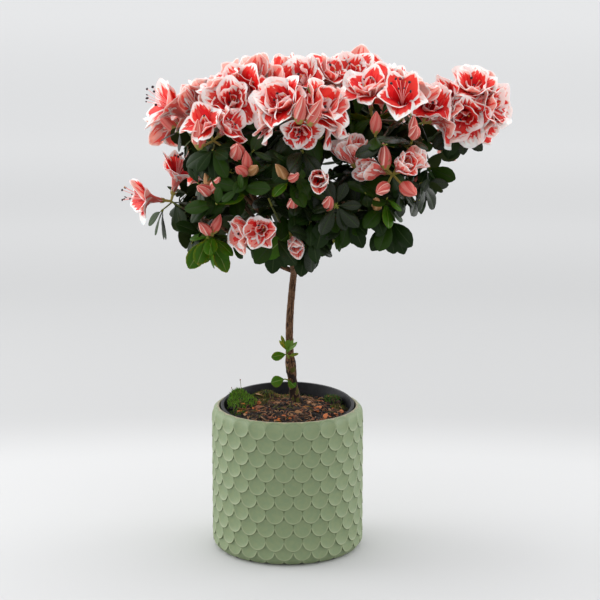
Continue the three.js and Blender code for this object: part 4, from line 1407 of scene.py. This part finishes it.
def bark_kind(relief, point):
    """The bark's colour by its relief, with moss and wet patches that thin out above the foot."""
    x, y, z = point
    foot = noise.noise(Vector((x / 4, y / 4, z / 6 + 40)))
    if z < MOSSY_BELOW and foot > 0.12 + (z - 140) / 90:
        return MOSSY
    if z < MOSSY_BELOW and foot < 0.06 - (z - 140) / 180:
        return WET_FOOT
    return CRACK if relief < 0.02 else RIDGE if relief > 0.3 else BROWN


print("the stem is", round(2 * stem_radius(0.5, 0), 1), "mm thick halfway up")


# %% Stem and boughs
def wood_limb(heap, line, radius_at, sides, steps, stretch, strength, foot=None):
    """A limb with bark, cut flat at its foot if that is given."""
    angles = np.linspace(0, 2 * math.pi, sides, endpoint=False)
    rings, kinds = [], []
    for share, middle, (a, b) in line.frames(steps):
        ring = []
        for angle in angles:
            out = math.cos(angle) * a + math.sin(angle) * b
            point = middle + out * radius_at(share, angle)
            relief = bark_height(point, stretch)
            point = point + out * relief * strength
            if foot and point[2] < foot:
                point[2] = foot
            ring.append(point)
            kinds.append(bark_kind(relief, point))
        rings.append(ring)
    close_rings(heap, np.array(rings), kinds[:-sides], BROWN)


def wood():
    heap = Heap()
    foot_share = float(np.interp(STEM_FOOT, stem_line.points[:, 2], stem_line.shares))
    trimmed = Line(stem_line.at(np.linspace(foot_share, 1, 300)))

    def gnarled(share, angle):
        z = STEM_FOOT + share * (STEM_TIP - STEM_FOOT)
        knots = noise.noise(Vector((math.cos(angle) * 1.2, math.sin(angle) * 1.2, z / 7)))
        radius = stem_radius(foot_share + (1 - foot_share) * share, angle)
        return radius + 1.2 * knots * math.exp(-((z - 150) / 28) ** 2)

    wood_limb(heap, trimmed, gnarled, 44, 210, 7.5, 1.0, foot=STEM_FOOT)
    for index in range(len(CLUMPS)):
        bough, limb = bough_line(index), limb_line(index)
        both = Line(np.concatenate([bough.points, limb.points[1:]]))
        wood_limb(heap, both, lambda share, angle: 2.3 - 0.95 * share, 14, 46, 5, 0.5)
    return heap


wood_piece = piece_of("stem_and_boughs", wood(), BARKS)
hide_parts("stem", *["bough_" + clump[0] for clump in CLUMPS])

# %% Twigs
# Thickness at the foot and at the tip, and the bark of six steps, for twigs and for their side shoots
TWIG_SIZES = {1: (1.25, 1.0), 2: (0.8, 0.65)}
TWIG_BARKS = {
    1: [TWIG_OLD, TWIG_OLD, TWIG_OLD, TWIG_YOUNG, TWIG_YOUNG, TWIG_TIP],
    2: [TWIG_OLD, TWIG_YOUNG, TWIG_YOUNG, TWIG_YOUNG, TWIG_TIP, TWIG_TIP],
}


def twigs():
    heap = Heap()
    for line, *_, order in [shoot for shoots in SHOOTS for shoot in shoots]:
        thick, thin = TWIG_SIZES[order]
        barks = np.repeat(TWIG_BARKS[order], 6)
        tube(heap, line, lambda share: thick + (thin - thick) * share, 6, 6, barks)
    return heap


piece_of("twigs", twigs(), BARKS, crease=80)

# %% [markdown]
# ## Foliage
# Leaves stand in whorls at the ends of the twigs: the oldest and largest lowest and spread flat, the
# youngest small and steep in the middle. Under a flower head they fold back like a collar. The upper
# leaves are a dark, bluish, half-glossy green; those low in the head are younger and brighter, and
# their brightness is partly painted light for leaves lit through from behind. Each whorl draws its own
# tone, so the colours are dealt out whorl by whorl.

# %% Greens
GREENS = [
    finish("leaf_dark", (24, 34, 16), 0.3, 0.8, 0.25, level=0.2),
    finish("leaf_deep", (24, 42, 12), 0.32, 0.8, 0.25, level=0.1),
    finish("leaf_mid", (34, 58, 10), 0.36, 0.8, 0.25, level=0.1),
    finish("leaf_bright", (52, 92, 8), 0.4, 0.8, 0.25, level=0.12, glow=0.3),
    finish("leaf_young", (86, 122, 24), 0.5, 0.6, 0.2),
    finish("leaf_rib_dark", (40, 56, 24), 0.5, 0.6, 0.2, level=0.15),
    finish("leaf_rib_bright", (84, 110, 34), 0.5, 0.6, 0.2),
    finish("leaf_under_dark", (46, 58, 24), 0.65, 0.6, 0.4, level=0.12),
    finish("leaf_under_bright", (66, 94, 18), 0.6, 0.6, 0.4, level=0.15, glow=0.2),
    finish("petiole", (122, 132, 44), 0.55, 0.6, 0.2),
]
PETIOLE = len(GREENS) - 1
# blade, rib and underside of each tone, from dark to young
TONES = [(0, 5, 7), (1, 5, 7), (2, 5, 7), (3, 6, 8), (4, 6, 8)]
BRIGHT = 3


def tone_at(z, dice):
    """Darker high in the head, brighter low down; the brightness low down is partly painted light, for
    leaves lit from behind.
    """
    roll = dice() + 0.75 * np.clip((340 - z) / 60, 0, 1)
    return 0 if roll < 0.4 else 1 if roll < 0.8 else 2 if roll < 1.15 else BRIGHT


def tilt(dice):
    """A small sideways tilt for the face of a leaf."""
    return 0.3 * np.array([dice() - 0.5, dice() - 0.5, 0])


print("tones of leaf:", len(TONES))


# %% Hanging whorls
def edge_whorl(heap, tip, aim, count, length, lean, hang, tone, dice):
    """A whorl of the table, whose leaves lean out from its facing and hang."""
    for i in range(count):
        out = leaning(aim, math.radians(lean + 14 * (dice() - 0.5)), i * 2 * math.pi / count + 0.5 * dice())
        out = unit(out - UP * hang * (0.7 + 0.5 * dice()))
        face = unit(aim + 0.5 * UP + tilt(dice))
        long = length * (0.8 + 0.35 * dice())
        if before_a_flower(tip + 0.7 * long * out, 0.75, 45):
            continue
        own = min(BRIGHT, tone + (1 if dice() > 0.8 else 0))
        leaf(heap, tip + 2 * out, out, face, long, long * (0.46 + 0.12 * dice()), TONES[own],
             bend=0.1 + 0.4 * dice(), fold=0.15 + 0.2 * dice(), roll=0.3, twist=0.5 * (dice() - 0.5))
        tube(heap, Line([tip - aim, tip + 3 * out]), lambda share: 0.5, 4, 1, PETIOLE)


print("leaves in the hanging whorls:", sum(row[1] for row in EDGE_WHORLS.values()))

# %% Whorls of leaves
GOLDEN_TURN = math.radians(137.5)


def whorl(heap, shoot, dice):
    """A whorl at a twig's tip: a folded collar under flowers, or a rosette that opens outwards."""
    _, tip, way, turn, head, order = shoot
    place = tuple(int(v) for v in np.round(tip))
    if head is None and place in EDGE_WHORLS:
        edge_whorl(heap, tip, way, *EDGE_WHORLS[place][1:], dice)
        return
    flowering = head is not None and head[2] > 0
    outward = unit((tip - HEAD_MIDDLE) * np.array([1, 1, 0.3]))
    aim = way if head else unit(way + 0.6 * outward)
    low = float(np.clip((345 - tip[2]) / 60, 0, 1))
    count = 8 if flowering else 6 + int(2.4 * dice())
    tone = tone_at(tip[2], dice)
    for i in range(count):
        share = i / count
        lean = (104 - 12 * share if flowering else 96 - 50 * share) + 16 * (dice() - 0.5)
        length = (37 - 7 * share if flowering else 34 - 14 * share) * (0.84 + 0.3 * dice())
        length *= 0.9 if order == 2 else 1
        out = leaning(aim, math.radians(lean), turn + i * GOLDEN_TURN + 0.4 * (dice() - 0.5))
        out[2] -= (0.75 if flowering else 0.2 + 0.5 * low) + 0.2 * dice()
        out = unit(out)
        start = tip - way * (10 * (1 - share) if flowering else 8 * (1 - share) - 1)
        end = start + length * out - np.array([0, 0, 0.12 * length])
        middle = start + 0.6 * length * out
        if not in_trim(end) or before_a_flower(end, 0.8, 45) or before_a_flower(middle, 0.75, 45):
            continue
        face = unit(0.8 * aim + 0.45 * UP + tilt(dice))
        width = length * (0.44 + 0.12 * dice())
        own = min(BRIGHT, tone + (1 if dice() > 0.88 else 0))
        leaf(heap, start, out, face, length, width, TONES[own], bend=0.15 + 0.45 * dice(),
             fold=0.1 + 0.22 * dice(), roll=0.3, twist=0.5 * (dice() - 0.5))


print("a leaf turns by", round(math.degrees(GOLDEN_TURN), 1), "degrees from the one below")

# %% Leaves on their twigs
GROUPS = {
    "front": ["front_crown", "front_low", "left_front", "right_front", "right_low"],
    "sides": ["left_side", "left_low", "top_left", "top_right", "far_right"],
    "back": ["back_left", "back_crown", "back_right", "back_low_left", "back_low_right"],
}
INDEX = {clump[0]: index for index, clump in enumerate(CLUMPS)}
for group, names in GROUPS.items():
    heap = Heap()
    for name in names:
        dice = seeded(501 + 7 * INDEX[name])
        for shoot in SHOOTS[INDEX[name]]:
            whorl(heap, shoot, dice)
    foliage = piece_of("leaves_" + group, heap, GREENS)
    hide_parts(*["clump_" + name for name in names])

# %% [markdown]
# ## Petals
# A petal grows from the flower's throat along a line that first climbs in the tube and then flares
# outwards. Across that line it is rolled to the tube's radius at the bottom and opens to a shallow
# cup, and its margin is longer than its middle, so it ruffles. Each petal is closed, with an inner and
# an outer side. The flame that runs up from the heart is dealt out by column, so that its end is
# feathered like the real streaks, and the margin stays white.

# %% Petal finishes
def petal_finish(name, *rgb):
    return finish("petal_" + name, rgb, 0.55, 0.5, 0.2, level=0.3, glow=0.6)


PETALS = [
    petal_finish("heart", 200, 2, 14),
    petal_finish("red", 220, 14, 24),
    petal_finish("coral", 230, 52, 46),
    petal_finish("rose", 246, 140, 130),
    petal_finish("blush", 252, 200, 192),
    petal_finish("white", 255, 238, 234),
    petal_finish("outer_pink", 234, 96, 88),
    petal_finish("outer_pale", 246, 174, 165),
    petal_finish("throat", 226, 150, 78),
]
HEART, RED, CORAL, ROSE, BLUSH, WHITE, OUTER, OUTER_PALE, THROAT = range(len(PETALS))


def flame_tone(band, shift):
    """The throat's yellow, then darker to lighter red along the flame."""
    if band < 0.1:
        return THROAT
    return HEART if band + shift < 0.45 else RED if band + shift < 0.72 else CORAL


print("finishes of a petal:", len(PETALS))

# %% A petal's sheet
PETAL_THICK = 0.32


def sheet_faces(numbers):
    corners = [numbers[:-1, :-1], numbers[1:, :-1], numbers[1:, 1:], numbers[:-1, 1:]]
    return np.stack(corners, -1).reshape(-1, 4)


class Sheet:
    """A petal's grid: rows up to the flame's end, rows on to the rim, and columns from side to side."""

    def __init__(self, flame, rim, across):
        self.flame, self.rim, self.across = np.array(flame), np.array(rim), np.array(across)
        rows, columns = len(flame) + len(rim), len(across)
        upper = np.arange(rows * columns).reshape(rows, columns)
        lower = upper.copy()
        within = np.arange((rows - 2) * (columns - 2)).reshape(rows - 2, columns - 2)
        lower[1:-1, 1:-1] = rows * columns + within
        self.inner, self.outer = sheet_faces(upper), sheet_faces(lower)[:, ::-1]

    def lengths(self, reach):
        """The share of the petal's length of each corner, for a flame that ends at reach in each column."""
        return np.concatenate([self.flame[:, None] * reach, reach + self.rim[:, None] * (1 - reach)])

    def paint(self, dice):
        """Finishes of the inner and the outer faces: a flame, a short change to pink, and a white rim."""
        strips = np.abs(self.across[:-1] + self.across[1:]) / 2
        bands = (self.flame[:-1] + self.flame[1:]) / 2
        last = len(self.rim)
        inner, outer = [], []
        for strip in strips:
            shift = 0.5 * (dice() - 0.5)
            if strip > 0.95:
                inner.append([BLUSH if band < 0.25 else WHITE for band in bands] + [WHITE] * last)
                outer.append([OUTER_PALE if band < 0.6 else WHITE for band in bands] + [WHITE] * last)
            elif strip > 0.85:
                inner.append([ROSE if band + shift < 0.5 else BLUSH for band in bands] + [WHITE] * last)
                outer.append([OUTER_PALE] * len(bands) + [WHITE] * last)
            else:
                change = [ROSE if shift > -0.1 else BLUSH, BLUSH if shift > 0 else WHITE, WHITE]
                inner.append([flame_tone(band, shift) for band in bands] + change[:last - 1] + [WHITE])
                outer.append([OUTER if band + 1.4 * shift < 0.85 else OUTER_PALE for band in bands]
                             + [OUTER_PALE, OUTER_PALE, BLUSH, WHITE][-last:])
        return np.array(inner).T.ravel(), np.array(outer).T.ravel()

    def add(self, heap, grid, dice, pale):
        """Gives the sheet its thickness and adds it; a pale petal has each of its reds one step lighter."""
        out = np.cross(np.gradient(grid, axis=0), np.gradient(grid, axis=1))
        out /= np.maximum(np.linalg.norm(out, axis=-1, keepdims=True), 1e-9)
        under = (grid - out * PETAL_THICK)[1:-1, 1:-1]
        inner, outer = self.paint(dice)
        if pale:
            inner = np.where(inner < WHITE, inner + 1, inner)
        points = np.concatenate([grid.reshape(-1, 3), under.reshape(-1, 3)])
        heap.add(points, (self.inner, inner), (self.outer, outer))


HALF = [0.07, 0.21, 0.35, 0.5, 0.66, 0.82, 0.92, 1]
BIG = Sheet([0, 0.25, 0.48, 0.68, 0.86, 1], [0.14, 0.5, 0.8, 1], [*(-share for share in HALF[::-1]), *HALF])
SMALL = Sheet([0, 0.3, 0.6, 0.85, 1], [0.3, 1], [-1, -0.9, -0.6, -0.2, 0.2, 0.6, 0.9, 1])

print("a large petal has", len(BIG.inner) + len(BIG.outer), "faces")

# %% How a petal bends
LEAST_LEAN, MOST_LEAN = 0.14, 1.75
TUBE_RADIUS = 1.3


def petal_profile(length, flare, straight, curl):
    """The middle line of a petal: shares of its length, and there its reach out, its rise and its lean."""
    fine = np.linspace(0, 1, 41)
    opening = smooth((fine - 0.5 * straight) / (0.3 + 0.5 * straight))
    lean = LEAST_LEAN + (flare - LEAST_LEAN) * opening - curl * smooth((fine - 0.5) / 0.5)
    lean = np.minimum(lean, MOST_LEAN)
    step = length / 40
    out = TUBE_RADIUS + np.concatenate([[0], np.cumsum(np.sin(lean[:-1]) * step)])
    rise = np.concatenate([[0], np.cumsum(np.cos(lean[:-1]) * step)])
    return fine, out, rise, lean


def ruffles(u, s, ruffle, dice):
    """How far the waves of its margin push each corner of a petal inwards."""
    rim = np.maximum(np.abs(u), (s - 0.35) / 0.6)
    round_rim = np.arctan2(u, (s - 0.5) * 2)
    waves, phase = 2.4 + 1.6 * dice(), 2 * math.pi * dice()
    wave = np.sin(waves * round_rim + phase) + 0.3 * np.sin(2.3 * waves * round_rim + 2 * phase)
    return ruffle * smooth((rim - 0.35) / 0.65) ** 1.3 * smooth(s / 0.5) * wave


print("a petal leans out by", round(math.degrees(MOST_LEAN)), "degrees at most")


# %% The petal
def petal(heap, base, axis, spin, length, width, flare, straight, cup, ruffle, twist, pointed, flame, dice,
          sheet=BIG, curl=0.0, pale=False):
    """straight is the share of the length before it leans out to its flare; curl brings its tip back in."""
    a, b = square_to(axis)
    radial = math.cos(spin) * a + math.sin(spin) * b
    tangent = math.cos(spin) * b - math.sin(spin) * a
    u = sheet.across
    streaks = np.array([0.09 * (k % 2) + 0.12 * (dice() - 0.5) for k in range(len(u))])
    reach = np.where(np.abs(u) > 0.85, 0.7, flame * (0.94 - 0.12 * np.abs(u) ** 2) - streaks)
    s = sheet.lengths(np.clip(reach, 0.35, 0.93))
    u = np.tile(u, (len(s), 1))
    s = s * (1 - (0.4 * np.abs(u) ** 1.5 if pointed else 0.3 * np.abs(u) ** 2.4))
    fine, *profile = petal_profile(length, flare, straight, curl)
    r, z, phi = (np.interp(s, fine, line) for line in profile)
    x = u * width / 2 * (0.16 + 0.84 * smooth(s / 0.66) - 0.2 * smooth((s - 0.72) / 0.28))
    in_tube = 1 / np.maximum(r, 2.4) * (1 - smooth((s - 0.5 * straight) / 0.4))
    bow = in_tube + cup / width * smooth((s - 0.2) / 0.4)
    side = np.sin(x * bow) / bow
    inward = (1 - np.cos(x * bow)) / bow + ruffles(u, s, ruffle, dice)
    turn = twist * s
    side, inward = side * np.cos(turn) - inward * np.sin(turn), side * np.sin(turn) + inward * np.cos(turn)
    forward = (r - inward * np.cos(phi))[..., None] * radial
    upward = (z + inward * np.sin(phi))[..., None] * axis
    sheet.add(heap, base + forward + upward + side[..., None] * tangent, dice, pale)


one_petal = Heap()
petal(one_petal, np.zeros(3), UP, spin=0, length=40, width=28, flare=1.05, straight=0.25, cup=0.5,
      ruffle=2.8, twist=0, pointed=False, flame=0.9, dice=seeded(1))
print("a petal 40 mm long reaches", round(float(np.ptp(one_petal.points[0][:, 2])), 1), "mm up")

# %% [markdown]
# ## The flowers
# Most of these flowers are double: rings of petals inside one another, the outer ones spread flat and
# the inner ones steep and curled. Each ring is a row of a short table. Every petal is built anew, with
# its own lean, ruffle and curl, because copies of one petal would show. It leans only as far as the
# next flower of the head leaves it room. A few flowers are single, with one ring of five petals and
# long stamens.

# %% Room between flowers
def flare_limit(axis, radial, others):
    """How far a petal can lean before it meets the next flower of the head."""
    limit = 3.0
    for other in others:
        cosine = float(np.dot(axis, other))
        if cosine > 0.999:
            continue
        facing = np.dot(radial, unit(other - axis * cosine))
        if facing > 0:
            limit = min(limit, 0.5 * math.acos(max(-1.0, cosine)) + 0.32 + 1.6 * (1 - facing))
    return limit


print("a lone flower may open without a limit:", flare_limit(UP, heading(0, 0), []))

# %% The flower
# petals in a ring, their length and width by the flower's radius, flare, cup, ruffle, and curl
OPEN_RINGS = [
    (5, 1.5, 1.05, 1.05, 0.5, 2.8, -0.1), (4, 1.3, 0.9, 0.6, 0.9, 2.8, 0.0),
    (3, 0.95, 0.55, 0.3, 1.6, 2.2, 0.1),
]
HALF_OPEN_RINGS = [(5, 1.6, 1.2, 0.5, 1.9, 1.0, 0.7), (3, 1.45, 1.0, 0.3, 2.2, 1.0, 0.5)]
LOOSE_RINGS = [(5, 1.5, 1.08, 1.25, 0.6, 3.2, 0.2), (3, 0.95, 0.7, 0.5, 1.5, 2.6, 0.2)]
SINGLE_RINGS = [(5, 1.75, 1.12, 1.0, 0.5, 1.4, 0.0)]
NARROW = 0.75


def flower(heap, base, axis, radius, opened, single, others, dice, pale=False):
    """A double flower has rings of petals inside one another; a single one has one ring of five."""
    a, b = square_to(axis)
    turn = 2 * math.pi * dice()
    rings = HALF_OPEN_RINGS if opened <= 0.6 else LOOSE_RINGS if opened <= 0.8 else OPEN_RINGS
    rings = SINGLE_RINGS if single else rings
    straight = 0.4 if single else 0.25 if opened > 0.6 else 0.1
    jitter = 0.15 if single else 0.6
    for ring, (count, long, wide, flare, cup, ruffle, curl) in enumerate(rings):
        flare *= opened if opened > 0.6 and not single else 1
        for k in range(count):
            spin = turn + 2 * math.pi * (k + 0.5 * ring + jitter * (dice() - 0.5)) / count
            radial = math.cos(spin) * a + math.sin(spin) * b
            droop = 1 - 0.4 * radial[2]
            lean = min(flare * droop * (0.78 + 0.44 * dice()), flare_limit(axis, radial, others))
            petal(heap, base + axis * ring, axis, spin, length=radius * long * (0.9 + 0.16 * dice()),
                  width=radius * wide, flare=lean, straight=straight, cup=cup + 0.5 * dice(),
                  ruffle=ruffle * (0.5 + 0.7 * dice()), twist=0.3 * (dice() - 0.5) * (1 + ring),
                  pointed=single, flame=0.84 + 0.28 * dice(), dice=dice,
                  sheet=SMALL if wide < NARROW else BIG, curl=curl + 0.8 * (dice() - 0.6), pale=pale)


print("rings of petals in an open double flower:", [ring[0] for ring in OPEN_RINGS])

# %% [markdown]
# ## Stamens
# In a double flower most stamens have turned into petals, so only two are left. A single flower keeps
# seven, long and arching, round a pistil that reaches a little further. Each is a fine tube with a
# crumb at its end: dark for an anther, yellow for the tip of the pistil.

# %% Stamens
STAMENS = [
    finish("filament_pink", (244, 176, 172), 0.5, 0.4, 0.2),
    finish("anther_maroon", (40, 12, 22), 0.6, 0.3, 0.4),
    finish("stigma_yellow", (224, 160, 70), 0.5, 0.3, 0.3),
]
FILAMENT, ANTHER, STIGMA = range(len(STAMENS))


def stamens(heap, base, axis, reach, count, spread, dice):
    """Fine filaments that arch out of the flower, each with a dark anther, and one paler pistil."""
    for k in range(count + 1):
        pistil = k == count
        out = leaning(axis, spread * (0.4 + 0.6 * dice()), 2 * math.pi * (k + 0.5 * dice()) / (count + 1))
        end = base + unit(axis + out) * reach * (0.82 + 0.22 * dice()) * (1.1 if pistil else 1)
        line = bezier(base + axis * 3, base + axis * reach * 0.55, end, 8)
        tube(heap, line, lambda share: 0.36 - 0.1 * share, 4, 5, FILAMENT)
        lump(heap, end, 0.7 if pistil else 1.2, STIGMA if pistil else ANTHER, dice)


print("parts of a stamen:", [part.name for part in STAMENS])

# %% [markdown]
# ## Buds
# A bud is a spindle of petals wound round one another. A turned shape whose radius steps down at five
# slanting seams gives that winding, and the faces next to a seam take the pale colour of the margin.
# Small bracts stand round its foot.

# %% Bracts
BUDS = [
    finish("bud_pink", (202, 88, 80), 0.55, 0.5, 0.25, level=0.2, glow=0.3),
    finish("bud_rose", (210, 120, 110), 0.55, 0.5, 0.25, level=0.2, glow=0.3),
    finish("bud_edge", (238, 192, 180), 0.55, 0.5, 0.2, level=0.2, glow=0.3),
    finish("bract_olive", (150, 136, 62), 0.6, 0.5, 0.3),
    finish("bract_brown", (136, 92, 46), 0.65, 0.5, 0.3),
    finish("bud_tan", (164, 118, 74), 0.55, 0.5, 0.25, level=0.2),
    finish("bud_tan_pale", (188, 146, 104), 0.55, 0.5, 0.25, level=0.2),
]
BUD_PINK, BUD_ROSE, BUD_EDGE, BRACT, BRACT_BROWN, TAN, TAN_PALE = range(len(BUDS))
BRACT_FACES = np.array([
    (0, 1, 4), (1, 2, 4), (2, 3, 4), (3, 0, 4), (0, 5, 1), (1, 5, 2), (2, 5, 3), (3, 5, 0),
])


def bracts(heap, place, axis, radius, length, dice):
    """Five small pointed scales that clasp the foot of a bud or flower."""
    for k in range(5):
        way = leaning(axis, 0.3 + 0.25 * dice(), 2 * math.pi * (k + 0.4 * dice()) / 5)
        outer, side = square_to(way, unit(way - axis * 0.99 + 1e-4))
        long, wide = length * (0.8 + 0.4 * dice()), radius * 0.5
        foot = place + way * radius * 0.2 - axis
        shape = [foot, foot + 0.45 * long * way + wide * side, foot + long * way,
                 foot + 0.45 * long * way - wide * side, foot + 0.4 * long * way + 0.9 * outer,
                 foot + 0.4 * long * way + 0.4 * outer]
        heap.add(shape, (BRACT_FACES[:, ::-1], BRACT if dice() < 0.65 else BRACT_BROWN))


print("a bract has", len(BRACT_FACES), "faces")

# %% The bud
# Along a bud: the share of its length, and there the share of its radius
BUD_ALONG = np.array([0, 0.1, 0.24, 0.4, 0.55, 0.7, 0.83, 0.93, 1.0])
BUD_SHAPE = np.array([0.44, 0.74, 0.95, 1.0, 0.93, 0.75, 0.5, 0.27, 0.08])
BUD_SIDES, SEAM_SIDES = 25, 5


def bud_tones(length, dice):
    """Tones from one seam to the next: pink with a pale edge, or tan in some of the small ones."""
    if length < 21 and dice() < 0.4:
        return np.array([TAN, TAN, TAN, TAN_PALE, TAN_PALE])
    return np.array([BUD_PINK, BUD_PINK, BUD_ROSE, BUD_ROSE, BUD_EDGE if dice() < 0.6 else BUD_ROSE])


def bud(heap, place, axis, length, radius, dice):
    ways = square_to(axis)
    start = 6 * dice()
    tones = bud_tones(length, dice)
    angles = np.linspace(0, 2 * math.pi, BUD_SIDES, endpoint=False)
    seam = np.arange(BUD_SIDES) % SEAM_SIDES
    rings, kinds = [], []
    for share, shape in zip(BUD_ALONG, BUD_SHAPE):
        r = radius * shape * (0.92 + 0.16 * (seam / 4) * smooth(share / 0.3))
        rings.append(ring_of(place + axis * share * length, r, angles + 1.1 * share + start, ways))
        kinds.append(np.where((share > 0.2) | ((share > 0.08) & (seam < 2)), tones[seam], BRACT))
    close_rings(heap, np.array(rings), np.concatenate(kinds[:-1]), [BRACT, BUD_EDGE])
    bracts(heap, place, axis, radius * 1.2, length * 0.44, dice)


print("bud rings:", len(BUD_ALONG))

# %% Flowers, stamens and buds on their twigs
stamen_heap, bud_heap = Heap(), Heap()


def head_flowers(petals, shoot, dice):
    """The flowers of a head, each on its stalk with bracts and stamens."""
    _, tip, way, turn, (at, _, count, radius, opened, _), _ = shoot
    ways = flower_ways(way, count, turn, at)
    for number, axis in enumerate(ways):
        single = at in SINGLE_HEADS or (at, number) in SINGLE_FLOWERS
        base = tip + PEDICEL * axis
        size = radius * own_size(at, number)
        flower(petals, base, axis, size, opened, single, ways, dice, at in PALE_HEADS)
        tube(bud_heap, Line([tip - axis, base + axis]), lambda share: 1.0 + 0.5 * share, 6, 2, BRACT)
        bracts(bud_heap, base - 2 * axis, axis, 3.6, 7, dice)
        stamens(stamen_heap, base, axis, size * (1.7 if single else 1.0), 7 if single else 2, 0.5, dice)


def head_buds(shoot, dice):
    """The buds of a head in a ring, or where the table says."""
    _, tip, way, turn, (at, _, count, *_, bud_count), _ = shoot
    for i in range(bud_count):
        lean = 0.5 if bud_count > 1 else 0.05
        axis = leaning(way, lean, turn + 2 * math.pi * (i + 0.5) / bud_count)
        foot = tip + 3 * axis
        if at in OWN_BUDS:
            azimuth, elevation, *away = OWN_BUDS[at][i]
            axis, foot = heading(azimuth, elevation), tip + np.array(away)
        long = (26 if count else 20) * (0.9 + 0.3 * dice())
        tube(bud_heap, Line([tip, foot + axis]), lambda share: 1.1, 6, 2, BRACT)
        bud(bud_heap, foot, axis, long, 0.23 * long, dice)


for group, names in GROUPS.items():
    petals = Heap()
    for name in names:
        dice = seeded(701 + 11 * INDEX[name])
        for shoot in SHOOTS[INDEX[name]]:
            if shoot[4]:
                head_flowers(petals, shoot, dice)
                head_buds(shoot, dice)
    piece_of("petals_" + group, petals, PETALS, crease=75)
piece_of("stamens", stamen_heap, STAMENS, crease=80)
piece_of("buds_and_bracts", bud_heap, BUDS, crease=40)

# %% [markdown]
# ## Young shoots on the stem
# Two shoots stand out of the stem below the head. Their leaves are young: round, thin and a bright
# yellow green, with a tuft of narrow ones at the tip of the upper shoot.

# %% Basal shoots
# name, height on the stem, way and length of its stalk, blades as way, length and width, narrow leaves
BASAL_SHOOTS = [
    ("basal_shoot_upper", 178, (-110, 42), 9, [((184, -8), 15, 10), ((-20, 20), 11, 3.5)], 13),
    ("basal_shoot_lower", 157, (-150, 25), 5, [((182, -12), 14, 12.5), ((-28, -32), 10.5, 8.5)], 0),
]
TO_THE_LIGHT = np.array([0, -0.75, 0.65])


def young_leaves(heap, foot, tip, leaves):
    """The broad blades of a shoot, one at its tip and one a little below."""
    for i, (blade, length, width) in enumerate(leaves):
        place = tip + (foot - tip) * 0.3 * i
        leaf(heap, place, heading(*blade), TO_THE_LIGHT, length, width, TONES[BRIGHT], bend=0.2, fold=0.12)


def young_tuft(heap, tip, count, dice):
    """Narrow leaves in a tuft, steep in its middle and leaning out at its edge."""
    for i in range(count):
        out = leaning(unit(np.array([0.3, -0.15, 1.0])), 0.1 + 0.8 * i / count, i * GOLDEN_TURN)
        face = np.array([0.0, -0.8, 0.6])
        tone = TONES[BRIGHT + (i % 3 > 0)]
        leaf(heap, tip + UP * i * 0.3, out, face, 12 + 5 * dice(), 3.6, tone, bend=0.2, fold=0.2)


for name, height, way, stalk, leaves, tuft in BASAL_SHOOTS:
    heap = Heap()
    foot = stem_at(height)
    tip = foot + heading(*way) * (4 + stalk)
    tube(heap, Line([foot + heading(*way) * 3, tip]), lambda share: 0.9 - 0.3 * share, 6, 3, PETIOLE)
    young_leaves(heap, foot, tip, leaves)
    young_tuft(heap, tip, tuft, seeded(height))
    shoot = piece_of(name + "_leaves", heap, GREENS)
    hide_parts(name)
